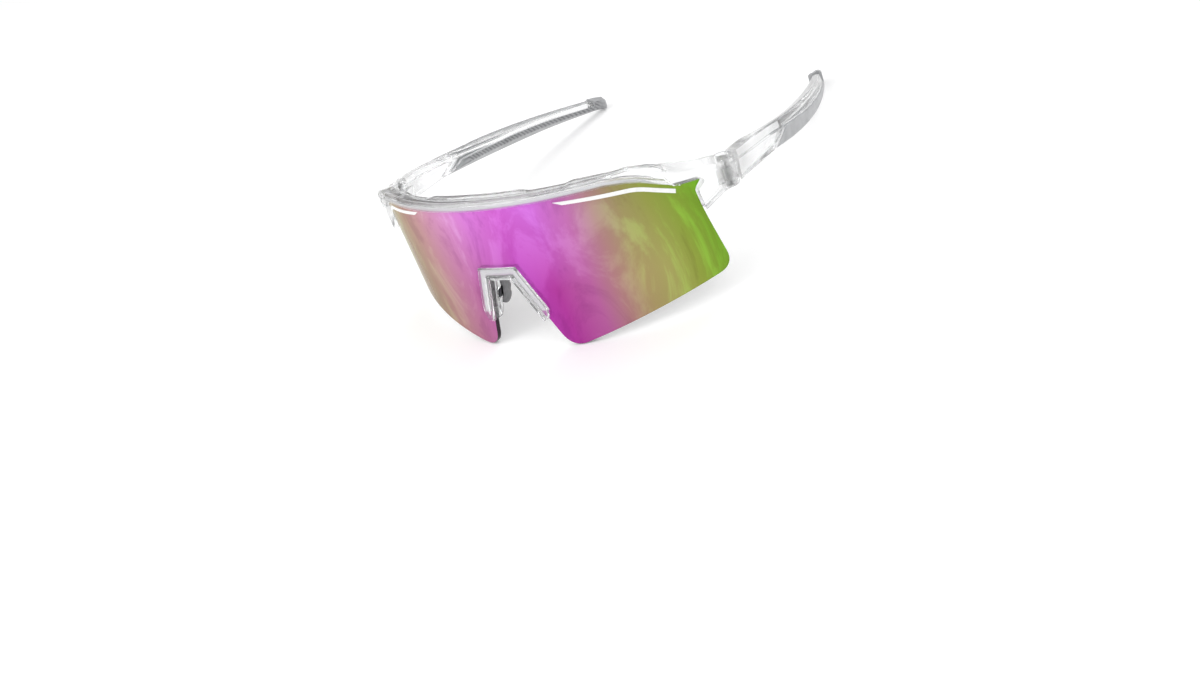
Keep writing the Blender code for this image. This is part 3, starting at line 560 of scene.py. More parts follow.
class Nodes:
    """The node tree of a material or world, with short calls for the nodes used here."""

    def __init__(self, owner, shader):
        owner.use_nodes = True
        self.owner = owner
        self.tree = owner.node_tree
        self.shader = self.tree.nodes[shader]

    def add(self, kind, **settings):
        node = self.tree.nodes.new(kind)
        for key, value in settings.items():
            setattr(node, key, value)
        return node

    def join(self, source, target):
        self.tree.links.new(source, target)

    def fill(self, socket, value):
        """Join another node's output to a socket, or set the socket to a plain value."""
        if isinstance(value, bpy.types.NodeSocket):
            self.join(value, socket)
        else:
            socket.default_value = value

    def feed(self, name, source):
        """Join a node's output to one of the shader's sockets."""
        self.join(source, self.shader.inputs[name])

    def rough(self, noise, low, high):
        """Let the roughness wander between two values."""
        self.feed("Roughness", self.spread(noise, low, high))

    def place(self):
        """The object's own coordinates, in metres."""
        return self.add('ShaderNodeTexCoord').outputs["Object"]

    def noise(self, scale, detail=3.0, roughness=0.5, stretch=None, distortion=0.0):
        source = self.place()
        if stretch is not None:
            mapping = self.add('ShaderNodeMapping')
            mapping.inputs["Scale"].default_value = stretch
            self.join(source, mapping.inputs["Vector"])
            source = mapping.outputs["Vector"]
        node = self.add('ShaderNodeTexNoise')
        node.inputs["Scale"].default_value = scale
        node.inputs["Detail"].default_value = detail
        node.inputs["Roughness"].default_value = roughness
        node.inputs["Distortion"].default_value = distortion
        self.join(source, node.inputs["Vector"])
        return node.outputs["Fac"]

    def mapped(self, value, ends, low, high):
        """Map between 0..1 and low..high, which is one of the two ends, From or To."""
        node = self.add('ShaderNodeMapRange')
        node.inputs[ends + " Min"].default_value = low
        node.inputs[ends + " Max"].default_value = high
        self.join(value, node.inputs["Value"])
        return node.outputs["Result"]

    def spread(self, value, low, high):
        """Map 0..1 to low..high."""
        return self.mapped(value, "To", low, high)

    def range(self, value, low, high):
        """Map low..high to 0..1."""
        return self.mapped(value, "From", low, high)

    def math(self, operation, first, second=0.0):
        node = self.add('ShaderNodeMath', operation=operation)
        self.fill(node.inputs[0], first)
        self.fill(node.inputs[1], second)
        return node.outputs["Value"]

    def ramp(self, value, stops):
        node = self.add('ShaderNodeValToRGB')
        elements = node.color_ramp.elements
        while len(elements) < len(stops):
            elements.new(0.5)
        for element, (position, color) in zip(elements, stops):
            element.position = position
            element.color = color
        self.join(value, node.inputs["Fac"])
        return node.outputs["Color"]

    def mottle(self, noise, dark, light, start=0.3, stop=0.7):
        """A colour that wanders between two others with a noise."""
        return self.ramp(noise, ((start, dark), (stop, light)))

    def mix(self, factor, first, second, blend='MIX'):
        node = self.add('ShaderNodeMix', data_type='RGBA', blend_type=blend)
        for index, value in ((0, factor), (6, first), (7, second)):
            self.fill(node.inputs[index], value)
        return node.outputs[2]

    def tinted(self, color, tint):
        """A colour multiplied by another."""
        return self.mix(1.0, color, tint, 'MULTIPLY')

    def bump(self, height, strength, distance):
        node = self.add('ShaderNodeBump')
        node.inputs["Strength"].default_value = strength
        node.inputs["Distance"].default_value = distance
        self.join(height, node.inputs["Height"])
        self.feed("Normal", node.outputs["Normal"])

    def attribute(self, name):
        return self.add('ShaderNodeAttribute', attribute_name=name).outputs["Fac"]

    def set(self, **values):
        for key, value in values.items():
            self.shader.inputs[key.replace("_", " ")].default_value = value


def shader_nodes(name):
    """The node tree of a new material."""
    return Nodes(bpy.data.materials.new(name), "Principled BSDF")


def hinge_distance(nodes):
    """Distance to the nearer hinge, in metres."""
    distances = []
    for side, _ in SIDES:
        away = nodes.add('ShaderNodeVectorMath', operation='DISTANCE')
        nodes.join(nodes.place(), away.inputs[0])
        away.inputs[1].default_value = STANCE @ (Vector((side * PIN_X, PIN_Y, KNUCKLE_HIGH)) * MM)
        distances.append(away.outputs["Value"])
    return nodes.math('MINIMUM', *distances)


def clear_plastic():
    """Clear nylon with painted shade edge on, fainter by the hinges, with moulding flow and light marks."""
    nodes = shader_nodes("clear_plastic")
    nodes.set(IOR=1.46, Transmission_Weight=1.0)
    # Painted shade: the colour turns grey where the surface is seen edge on, drawing dark lines along edges
    edge = nodes.add('ShaderNodeLayerWeight').outputs["Facing"]
    nodes.feed("Base Color", nodes.ramp(edge, (
        (0.5, (0.91, 0.915, 0.92, 1.0)), (0.72, (0.78, 0.785, 0.79, 1.0)), (0.92, (0.35, 0.35, 0.36, 1.0)),
    )))
    body = nodes.range(hinge_distance(nodes), HINGE_NEAR * MM, HINGE_FAR * MM)
    nodes.feed("Alpha", nodes.spread(body, HINGE_ALPHA, BODY_ALPHA))
    nodes.rough(nodes.noise(900.0, 4.0), 0.0, 0.035)
    nodes.bump(nodes.noise(140.0, 2.0, stretch=(1.0, 0.35, 1.0)), 0.035, 0.0003)
    let_light_through(nodes)
    return nodes.owner


def let_light_through(nodes):
    """Make the material see-through to shadow rays, so that the plastic casts a faint shadow."""
    through = nodes.add('ShaderNodeBsdfTransparent')
    through.inputs["Color"].default_value = (0.93, 0.94, 0.94, 1.0)
    blend = nodes.add('ShaderNodeMixShader')
    rays = nodes.add('ShaderNodeLightPath')
    nodes.join(rays.outputs["Is Shadow Ray"], blend.inputs["Fac"])
    nodes.join(nodes.shader.outputs["BSDF"], blend.inputs[1])
    nodes.join(through.outputs["BSDF"], blend.inputs[2])
    nodes.join(blend.outputs["Shader"], nodes.tree.nodes["Material Output"].inputs["Surface"])


def lens_place(nodes):
    """Distance from the lens's middle, height, and a value that stays the same down the nose."""
    along = nodes.math('ABSOLUTE', nodes.attribute("along"))
    height = nodes.attribute("height")
    return along, height, nodes.math('ADD', along, nodes.math('MULTIPLY', height, BRIDGE_SLOPE))


def film_and_reflection_color(nodes):
    """The mirror film's colour with painted reflection, turning olive over violet to green along the lens.
    """
    place = nodes.range(nodes.attribute("along"), -LENS_HALF, LENS_HALF)
    rows = []
    for colors in (FILM_AND_REFLECTION_TOP, FILM_AND_REFLECTION_LOW):
        stops = [((s + LENS_HALF) / (2.0 * LENS_HALF), srgb(*color)) for s, color in colors]
        rows.append(nodes.ramp(place, stops))
    low = nodes.range(nodes.attribute("height"), 4.0, -24.0)
    return nodes.mix(low, rows[0], rows[1])


def painted_pale_band(nodes):
    """A pale band painted on the lens under the clamping lip and the bridge, a painted highlight."""
    along, height, flank = lens_place(nodes)
    reach = LIP_DROP[-1][0]
    drop = nodes.ramp(nodes.math('DIVIDE', along, reach),
                      [(s / reach, grey(-value / DROP_SCALE)) for s, value in LIP_DROP])
    over_lip = nodes.math('ADD', height, nodes.math('MULTIPLY', drop, DROP_SCALE))
    lip = nodes.range(over_lip, LIP_BOTTOM + 0.1, LIP_BOTTOM + 0.5)
    edge = BRIDGE_HALF_TOP + BRIDGE_TOP * BRIDGE_SLOPE
    inside = nodes.range(flank, edge - 0.3, edge - 0.6)
    below = nodes.range(height, BRIDGE_TOP - 0.3, BRIDGE_TOP - 0.6)
    above = nodes.range(height, BRIDGE_FOOT + 1.6, BRIDGE_FOOT + 2.2)
    bridge = nodes.math('MULTIPLY', nodes.math('MULTIPLY', inside, below), above)
    return nodes.math('MAXIMUM', lip, bridge)


def nose_distance(nodes):
    """Distance from the lens's nose cut-out, from 0 at its edge to 1 at 1.5 mm."""
    _, height, flank = lens_place(nodes)
    to_side = nodes.math('SUBTRACT', flank, nose_edge(0.0, WEB + GAP))
    to_top = nodes.math('SUBTRACT', height, BRIDGE_TOP - FLANGE + WEB + GAP)
    return nodes.range(nodes.math('MAXIMUM', to_side, to_top), 0.0, 1.5)


def mirror_lens():
    """Violet to green mirror film, with soft streaks of painted reflection and drifting film thickness."""
    nodes = shader_nodes("mirror_lens")
    film = film_and_reflection_color(nodes)
    # Painted reflection: lighter and darker streaks, which also stand for drift in the film's thickness
    streaks = nodes.noise(34.0, 6.0, 0.66, (1.0, 1.0, 0.5), 1.8)
    pale = nodes.math('MULTIPLY', nodes.mottle(streaks, BLACK, WHITE, 0.52, 0.62), 0.6)
    deep = nodes.math('MULTIPLY', nodes.mottle(streaks, WHITE, BLACK, 0.38, 0.46), 0.5)
    for amount, tint in ((pale, (1.25, 1.7, 1.35, 1.0)), (deep, (0.72, 0.6, 0.72, 1.0))):
        film = nodes.mix(amount, film, nodes.tinted(film, tint))
    # Painted highlight and painted shade: pale under the lip and the bridge, with a dark painted line along
    # the nose cut-out
    pale_band_and_edge_shade = nodes.mottle(nose_distance(nodes), grey(0.03), (0.8, 0.8, 0.82, 1.0), 0.0, 0.5)
    nodes.feed("Base Color", nodes.mix(painted_pale_band(nodes), film, pale_band_and_edge_shade))
    nodes.rough(nodes.noise(1200.0, 3.0), 0.10, 0.2)
    nodes.set(Metallic=0.5, Specular_IOR_Level=0.2, IOR=1.12, Specular_Tint=(0.5, 0.42, 0.36, 1.0))
    nodes.bump(nodes.noise(60.0, 1.0), 0.05, 0.0003)
    return nodes.owner


def lens_rim():
    """The lens's cut edge: dark smoke, except on the ears, where painted light gives it the film's full
    colour.
    """
    nodes = shader_nodes("lens_rim")
    shade = nodes.mottle(nodes.noise(400.0, 3.0), srgb(40, 36, 40), srgb(64, 60, 64))
    along, height, _ = lens_place(nodes)
    # Painted light: the rim on top of the ears faces up and is drawn in the full film colour, not dark
    lit_ear_rim = nodes.math('MULTIPLY', nodes.range(along, 60.0, 62.0), nodes.range(height, -8.0, -3.0))
    nodes.feed("Base Color", nodes.tinted(film_and_reflection_color(nodes), nodes.mix(lit_ear_rim, shade, WHITE)))
    nodes.rough(nodes.noise(1500.0), 0.12, 0.3)
    nodes.set(Specular_IOR_Level=0.2)
    return nodes.owner


def lens_back():
    """The inside of the lens: glossy smoke tint with a faint trace of the mirror film."""
    nodes = shader_nodes("lens_back")
    place = nodes.range(nodes.attribute("along"), -LENS_HALF, LENS_HALF)
    tint = nodes.ramp(place, ((0.0, srgb(70, 72, 62)), (0.35, srgb(78, 62, 78)),
                              (0.6, srgb(80, 60, 76)), (1.0, srgb(62, 74, 54))))
    cloud = nodes.mottle(nodes.noise(55.0, 3.0), grey(0.8), WHITE)
    nodes.feed("Base Color", nodes.tinted(tint, cloud))
    nodes.rough(nodes.noise(1100.0, 3.0), 0.06, 0.16)
    nodes.set(Coat_Weight=0.7, Coat_Roughness=0.03)
    return nodes.owner


def stripe_print():
    """White pad-printed ink with a fine orange-peel surface."""
    nodes = shader_nodes("stripe_print")
    nodes.feed("Base Color", nodes.mottle(nodes.noise(700.0, 3.0), (0.86, 0.87, 0.86, 1.0), grey(0.96)))
    nodes.rough(nodes.noise(2500.0), 0.3, 0.5)
    nodes.bump(nodes.noise(2600.0, 2.0), 0.3, 0.00004)
    return nodes.owner


def grip_rubber():
    """Satin grey rubber with painted shade in the cuts of the hatch, and a fine matt grain."""
    nodes = shader_nodes("grip_rubber")
    mottle = nodes.mottle(nodes.noise(260.0, 4.0), srgb(152, 153, 155), srgb(180, 181, 183), 0.25, 0.75)
    # Painted shade: the rubber is drawn darker down in the cuts of the hatch
    cut = nodes.mottle(nodes.attribute("hatch"), WHITE, (0.42, 0.42, 0.43, 1.0), 0.0, 1.0)
    nodes.feed("Base Color", nodes.tinted(mottle, cut))
    nodes.rough(nodes.noise(900.0), 0.42, 0.62)
    nodes.set(Sheen_Weight=0.15, Sheen_Roughness=0.4)
    nodes.bump(nodes.noise(5200.0, 2.0), 0.35, 0.00005)
    return nodes.owner


def pad_rubber():
    """Dark grey silicone with a faint mottle."""
    nodes = shader_nodes("pad_rubber")
    nodes.feed("Base Color", nodes.mottle(nodes.noise(420.0, 4.0), srgb(92, 92, 94), srgb(124, 124, 126)))
    nodes.rough(nodes.noise(1300.0), 0.42, 0.6)
    nodes.set(Sheen_Weight=0.2, Sheen_Roughness=0.4)
    nodes.bump(nodes.noise(6000.0, 2.0), 0.3, 0.00005)
    return nodes.owner


def metal(name, dark, light, low, high):
    """Turned metal with fine brushing and a little tarnish."""
    nodes = shader_nodes(name)
    nodes.feed("Base Color", nodes.mottle(nodes.noise(800.0, 4.0), dark, light))
    nodes.rough(nodes.noise(2200.0, 3.0, 0.6, (1.0, 1.0, 6.0)), low, high)
    nodes.set(Metallic=1.0)
    nodes.bump(nodes.noise(3000.0, 2.0, 0.5, (1.0, 1.0, 8.0)), 0.2, 0.00003)
    return nodes.owner


CLEAR = clear_plastic()
MIRROR = mirror_lens()
RIM = lens_rim()
BACK = lens_back()
INK = stripe_print()
GRIP = grip_rubber()
PAD = pad_rubber()
STEEL = metal("hinge_steel", srgb(150, 150, 150), srgb(198, 198, 198), 0.22, 0.4)
DARK_STEEL = metal("dark_steel", srgb(48, 48, 52), srgb(78, 78, 82), 0.28, 0.45)


# ---- shield lens

def lens_outline():
    """The lens's outline: top edge, ears, outer edges, bottom edges and nose cut-out."""
    edge = WEB + GAP
    notch_top = BRIDGE_TOP - FLANGE + edge
    right = [
        (46.0, LENS_TOP - 0.3, 4.0), (54.5, 5.2, 4.0), (62.0, -0.6, 1.0),
        (71.0, -1.3, 1.3), (68.1, -4.0, 1.0), (68.6, -11.8, 9.0), (71.6, -30.8, 5.0),
        (44.0, -37.4, 20.0), (nose_edge(LENS_FOOT, edge), LENS_FOOT, 6.0),
        (nose_edge(notch_top, edge), notch_top, 1.0),
    ]
    left = [(-s, z, reach) for s, z, reach in reversed(right)]
    return soft(right + left, 10)


def shield_lens():
    """The lens, with the film on its front, a cut rim and a smoke back."""
    bm = bend(flat_plate(lens_outline(), 0.0, LENS_THICK, LENS_RIM))
    depth = bm.verts.layers.float["depth"]
    for face in bm.faces:
        behind = sum(vert[depth] for vert in face.verts) / len(face.verts)
        if behind > LENS_THICK - 0.01:
            face.material_index = 2
        elif behind > LENS_RIM:
            face.material_index = 1
    obj = solid("lens_shield", bm)
    finish_piece(obj, "front", ["shield_lens"], (MIRROR, RIM, BACK), 40.0)


def lens_stripe(side, name):
    """A narrow white stripe below the lip, cut off square at its outer end."""
    (s0, z0), (s1, z1), (s2, z2) = STRIPE_LINE
    w = STRIPE_WIDTH
    outline = soft([
        (s0, z0, 0.1), (s1, z1, 3.0), (s2, z2, 0.15), (s2 - 0.4, z2 - w, 0.15),
        (s1 - 0.3, z1 - w, 3.0), (s0 + 2.6, z0 - w, 0.1),
    ], 6)
    bm = flat_plate([(side * s, z) for s, z in outline], -STRIPE_PROUD, STRIPE_PROUD / 2.0)
    obj = solid("lens_stripe_" + name, bend(bm))
    finish_piece(obj, "front", [], (INK,), 30.0)


# ---- front frame

def bar_ring(s):
    """The brow bar's rounded section at s, from the front lip's foot round the back."""
    foot = LIP_BOTTOM + eased(s, LIP_DROP)
    line = foot + LIP_HEIGHT
    scoop = eased(s, SCOOP)
    lip = LIP_FRONT + eased(s, LIP_REACH)
    roof = min(LENS_TOP, foot + 1.7) + GAP
    back_face = LENS_THICK + GAP
    front_top = eased(s, TOP_FRONT)
    rear_top = eased(s, TOP_REAR)
    rib_top = rear_top + eased(s, RIB_HEIGHT)
    rear_foot = foot + 0.2
    rear = BAR_REAR - eased(s, REAR_TAPER)
    section = soft([
        (LIP_FRONT, foot, 0.35), (lip, line - 0.25, 0.15), (lip + GROOVE_DEPTH, line, 0.05),
        (BAR_FRONT + scoop, line + 0.25, 0.15), (BAR_FRONT + 0.2 + scoop * 0.4, front_top, 0.45),
        (RIB_FRONT, rear_top, 0.3), (RIB_FRONT + 0.3, rib_top, 0.3), (rear, rib_top, 0.7),
        (rear, rear_foot, 0.6), (back_face, rear_foot, 0.1), (back_face, roof, 0.3),
        (-GAP, roof, 0.3), (-GAP, foot, 0.1),
    ])
    return [bent(s, y, z) for y, z in section]


def end_piece(side):
    """The side of the frame, from the bar's end back to the hinge."""
    rings = []
    for s in spread(END_START, END_STOP, END_STEP):
        top = eased(s, END_TOP)
        rear_top = eased(s, END_TOP_REAR)
        foot = eased(s, END_FOOT)
        section = soft([
            (BAR_FRONT, foot, 0.8), (BAR_FRONT, top, 0.8), (END_REAR, rear_top, 0.8), (END_REAR, foot, 0.8),
        ])
        slant = (SEAM_SLANT + LENS_LEAN) * max(0.0, s - SLANT_START) / (END_STOP - SLANT_START)
        rings.append([bent(s + slant * z, y, z) for y, z in section])
    return for_side(skin(rings), side)


def lens_pocket():
    """Room for the lens's ears in front of the side pieces."""
    grown = []
    outline = lens_outline()
    middle = Vector((0.0, -15.0))
    for k, point in enumerate(outline):
        before = Vector(outline[k - 1])
        after = Vector(outline[(k + 1) % len(outline)])
        outward = (after - before).orthogonal().normalized()
        if outward.dot(Vector(point) - middle) < 0.0:
            outward.negate()
        grown.append(tuple(Vector(point) + outward * POCKET_ROOM))
    return bend(flat_plate(grown, -POCKET_AHEAD, LENS_THICK + GAP), 2.0 * STRIP)


def knuckle_slot():
    """Room for the temple's knuckle: a round seat, open to the inside and the back."""
    reach = KNUCKLE_RADIUS + GAP
    inner = -SLOT_REACH_IN
    seat = [(inner, -reach), (0.0, -reach)]
    for k in range(1, 16):
        angle = math.radians(-90.0 + 90.0 * k / 16)
        seat.append((reach * math.cos(angle), reach * math.sin(angle)))
    seat += [(reach, 0.0), (reach, SLOT_REACH_BACK), (inner, SLOT_REACH_BACK)]
    return skin([[(x, y, z) for x, y in seat] for z in (KNUCKLE_LOW - GAP, KNUCKLE_HIGH + GAP)])


def at_hinge(bm, side):
    """Move a shape made about the pin to its hinge."""
    bmesh.ops.translate(for_side(bm, side), vec=(side * PIN_X, PIN_Y, 0.0), verts=bm.verts)
    return bm


def front_frame():
    """The brow bar with both end pieces and lugs, and all that is cut out of them."""
    stations = spread(-BAR_END, BAR_END, BAR_STEP)
    obj = solid("frame_front", skin([bar_ring(s) for s in stations]))
    for side, _ in SIDES:
        end = solid("end_piece", end_piece(side))
        combine(end, lens_pocket())
        bm = bmesh.new()
        bm.from_mesh(end.data)
        bpy.data.objects.remove(end, do_unlink=True)
        combine(obj, bm, 'UNION')
        lug = cylinder(LUG_RADIUS, LUG_BOTTOM, LUG_TOP, edge=0.7)
        combine(obj, at_hinge(lug, side), 'UNION')
        under = LUG_BOTTOM - OVERRUN
        over = LUG_TOP + OVERRUN
        screw_bore = cylinder(SCREW_RADIUS + RUNNING_GAP, under, over, 32)
        head_bore = cylinder(HEAD_RADIUS + RUNNING_GAP, HEAD_SEAT, over)
        nut_pocket = cylinder(NUT_RADIUS + GAP, under, LUG_BOTTOM + NUT_HEIGHT + GAP, NUT_SIDES)
        for cut in (knuckle_slot(), screw_bore, head_bore, nut_pocket):
            combine(obj, at_hinge(cut, side))
    finish_piece(obj, "front", ["front_frame"], (CLEAR,))


# ---- hinge hardware

def finish_hinge_part(obj, side, body, node):
    """Finish a piece made about the pin, at its hinge."""
    place = Matrix.Translation((side * PIN_X, PIN_Y, 0.0))
    finish_piece(obj, body, [node], (STEEL,), 30.0, place)


def hinge_screw(side, name):
    """A screw with a domed, slotted head."""
    tip = LUG_BOTTOM + 0.4
    crown = HEAD_SEAT + GAP + HEAD_HEIGHT
    profile = soft([
        (0.0, tip, 0.0), (SCREW_RADIUS, tip, 0.3), (SCREW_RADIUS, HEAD_SEAT + GAP, 0.05),
        (HEAD_RADIUS, HEAD_SEAT + GAP, 0.12), (HEAD_RADIUS, crown, 0.5), (0.0, crown, 0.0),
    ])
    obj = solid("screw_" + name, turned(profile))
    reach = HEAD_RADIUS + OVERRUN
    slot = box((-reach, -DRIVE_HALF_WIDTH, crown - DRIVE_DEPTH), (reach, DRIVE_HALF_WIDTH, crown + OVERRUN))
    combine(obj, slot)
    finish_hinge_part(obj, side, "front", "hinge_screw_" + name)


def hinge_sleeve(side, name):
    """The barrel in the temple's knuckle that turns on the screw."""
    low = KNUCKLE_LOW + SLEEVE_INSET
    high = KNUCKLE_HIGH - SLEEVE_INSET
    obj = solid("sleeve_" + name, cylinder(SLEEVE_RADIUS, low, high, edge=0.15))
    combine(obj, cylinder(SCREW_RADIUS + RUNNING_GAP, low - OVERRUN, high + OVERRUN))
    finish_hinge_part(obj, side, "temple_" + name, "hinge_sleeve_" + name)


def hinge_nut(side, name):
    """The hexagon nut in the lug's foot."""
    low = LUG_BOTTOM
    obj = solid("nut_" + name, cylinder(NUT_RADIUS, low, low + NUT_HEIGHT, NUT_SIDES))
    combine(obj, cylinder(SCREW_RADIUS + RUNNING_GAP, low - OVERRUN, low + NUT_HEIGHT + OVERRUN))
    round_edges(obj, 0.12)
    finish_hinge_part(obj, side, "front", "hinge_nut_" + name)


# ---- temples and grips

def arm_row(y):
    """Smooth reading of the temple stations at a distance back."""
    rows = ARM_STATIONS
    y = min(max(y, rows[0][0]), rows[-1][0])
    k = 0
    while k < len(rows) - 2 and y > rows[k + 1][0]:
        k += 1
    before = rows[max(k - 1, 0)]
    start = rows[k]
    end = rows[k + 1]
    after = rows[min(k + 2, len(rows) - 1)]
    span = end[0] - start[0]
    t = (y - start[0]) / span
    row = []
    for j in range(1, len(start)):
        slope0 = (end[j] - before[j]) / (end[0] - before[0]) * span
        slope1 = (after[j] - start[j]) / (after[0] - start[0]) * span
        row.append((2 * t ** 3 - 3 * t ** 2 + 1) * start[j] + (t ** 3 - 2 * t ** 2 + t) * slope0
                   + (3 * t ** 2 - 2 * t ** 3) * end[j] + (t ** 3 - t ** 2) * slope1)
    return row


def arm_section(y):
    """Full section of the clear arm, with a ledge along the outer face."""
    middle, half, outer_top, inner_top, inner_foot, outer_foot, outer_rim, inner_rim = arm_row(y)
    return soft([
        (middle + half - 0.5, outer_top, 0.6), (middle + half - 0.1, outer_rim + 0.45, 0.1),
        (middle + half - LEDGE, outer_rim, 0.05),
        (middle + half, outer_rim - 0.3, 0.12), (middle + half, outer_foot, 0.9),
        (middle - half, inner_foot, 0.9), (middle - half, inner_rim - 0.3, 0.1),
        (middle - half, inner_rim, 0.1), (middle - half, inner_top, 0.8),
    ])


def core_section(y):
    """The clear spine in the rubber grip: a cap flush with the rubber, on a slimmer stem."""
    middle, half, outer_top, inner_top, inner_foot, outer_foot, outer_rim, inner_rim = arm_row(y)
    stem = half - RUBBER_THICK - GAP
    floor = RUBBER_THICK + GAP
    return soft([
        (middle + half - 0.5, outer_top, 0.6), (middle + half - 0.1, outer_rim + GAP + 0.4, 0.1),
        (middle + half, outer_rim + GAP, 0.12),
        (middle + stem, outer_rim + GAP, 0.1), (middle + stem, outer_foot + floor + 0.3, 0.4),
        (middle - stem, inner_foot + floor, 0.4), (middle - stem, inner_rim + GAP, 0.1),
        (middle - half, inner_rim + GAP, 0.12), (middle - half + 0.2, inner_top, 0.7),
    ])


def flat_ring(section, y):
    """A section as a ring of points, square to the temple's length."""
    return [(x, y, z) for x, z in section(y)]


def slanted_ring(section, y_middle):
    """A ring on the slanted plane where the rubber starts: lower points lie further forward."""
    ring = []
    for k in range(len(section(y_middle))):
        y = y_middle
        for _ in range(8):
            x, z = section(y)[k]
            y = y_middle + slant_at(z)
        ring.append((x, y, z))
    return ring


def slant_at(z):
    """How far back of its middle the rubber's slanted start lies at a height."""
    return min(GRIP_SLOPE * (z - GRIP_START_Z), GRIP_RUN)


def grip_notch():
    """A slanted V groove across the arm's outer face, just ahead of the rubber."""
    rings = []
    for z in spread(-11.0, 2.0, 0.8):
        y = GRIP_START - NOTCH_AHEAD + slant_at(z)
        middle, half = arm_row(y)[:2]
        outer = middle + half
        rings.append([
            (outer + 1.0, y - NOTCH_HALF * 2.0, z), (outer + 1.0, y + NOTCH_HALF * 1.4, z),
            (outer - NOTCH_DEPTH, y, z),
        ])
    return skin(rings)


def temple_arm(side, name):
    """The clear arm: beam, spine, knuckle and the web between, round the lug."""
    rings = [[(x, ARM_FRONT + SEAM_SLANT * z, z) for x, z in arm_section(ARM_FRONT)]]
    rings += [flat_ring(arm_section, y) for y in spread(ARM_FRONT + 2.5, ARM_END, ARM_STEP)]
    for share in (0.25, 0.5, 0.75):
        start = flat_ring(arm_section, ARM_END)
        stop = slanted_ring(arm_section, GRIP_START)
        between = []
        for k, (near, far) in enumerate(zip(start, stop)):
            y = near[1] + (far[1] - near[1]) * share
            x, z = arm_section(y)[k]
            between.append((x, y, z))
        rings.append(between)
    rings.append(slanted_ring(arm_section, GRIP_START))
    rings.append(slanted_ring(core_section, GRIP_START + 0.01))
    straight = spread(GRIP_START + GRIP_RUN + RING_LEAD, CORE_TIP, ARM_STEP)
    rings += [flat_ring(core_section, y) for y in straight]
    obj = solid("arm_" + name, for_side(skin(rings), side))
    combine(obj, for_side(grip_notch(), side))
    room = cylinder(LUG_RADIUS + LUG_CLEARANCE, LUG_BOTTOM - OVERRUN, LUG_TOP + 2.0 * OVERRUN)
    combine(obj, at_hinge(room, side))
    knuckle = cylinder(KNUCKLE_RADIUS, KNUCKLE_LOW, KNUCKLE_HIGH, edge=0.3)
    combine(obj, at_hinge(knuckle, side), 'UNION')
    web = box((-WEB_INSIDE, 0.0, KNUCKLE_LOW), (WEB_OUTSIDE, LUG_RADIUS + WEB_REACH, KNUCKLE_HIGH))
    combine(obj, at_hinge(web, side), 'UNION')
    seat = cylinder(SLEEVE_RADIUS + RUNNING_GAP, KNUCKLE_LOW - OVERRUN, KNUCKLE_HIGH + OVERRUN)
    combine(obj, at_hinge(seat, side))
    finish_piece(obj, "temple_" + name, ["temple_" + name], (CLEAR,))


def grip_ring(y, closed=0.0):
    """A rubber channel round the spine; closed = 1 fills it up to the top for the tip."""
    middle, half, outer_top, inner_top, inner_foot, outer_foot, outer_rim, inner_rim = arm_row(y)
    inside = half - RUBBER_THICK
    half = half + GRIP_PROUD
    outer_rim += (outer_top - outer_rim) * closed
    inner_rim += (inner_top - inner_rim) * closed
    wall = soft([
        (middle + half, outer_rim, 0.3), (middle + half, outer_foot, 1.4),
        (middle - half, inner_foot, 1.1), (middle - half, inner_rim, 0.3),
    ], GRIP_CORNER - 1)
    lower = wall[:3 * GRIP_CORNER]
    upper = wall[3 * GRIP_CORNER:]
    steps = GRIP_INNER_POINTS + 1
    inner_face = [tuple(Vector(lower[-1]).lerp(Vector(upper[0]), k / steps)) for k in range(1, steps)]
    open_channel = [
        (middle - inside, inner_rim), (middle - inside, inner_foot + RUBBER_THICK),
        (middle + inside, outer_foot + RUBBER_THICK + 0.3), (middle + inside, outer_rim),
    ]
    filled = [
        (middle - half * 0.7, inner_top + TIP_CAP), (middle - half * 0.3, inner_top + TIP_CAP * 1.3),
        (middle + half * 0.3, outer_top + TIP_CAP * 1.3), (middle + half * 0.7, outer_top + TIP_CAP),
    ]
    channel = [(ox + (fx - ox) * closed, oz + (fz - oz) * closed)
               for (ox, oz), (fx, fz) in zip(open_channel, filled)]
    return lower + inner_face + upper + channel


def tip_ring(setback, scale):
    """A ring at the grip's end, which is cut at a slant: the outer side reaches further back."""
    ring = grip_ring(GRIP_TIP, 1.0)
    outer = max(x for x, _ in ring)
    points = [Vector((x, GRIP_TIP - setback - TIP_SLANT * (outer - x), z)) for x, z in ring]
    centre = sum(points, Vector()) / len(points)
    return [centre + (point - centre) * scale for point in points]


def hatch_depth(k, y, z):
    """Depth of the diagonal hatch, 0 on a ridge and 1 in a cut, fading out round the face's rim."""
    ends = min(1.0, max(0.0, (y - HATCH_START) / HATCH_FADE), max(0.0, (HATCH_END - y) / HATCH_FADE))
    rims = min(1.0, (k - GRIP_FACE[0]) / HATCH_RIM, (GRIP_FACE[-1] - k) / HATCH_RIM)
    phase = (y + HATCH_SLANT * z) / HATCH_PITCH
    return ends * rims * (0.5 - 0.5 * math.cos(math.tau * phase))


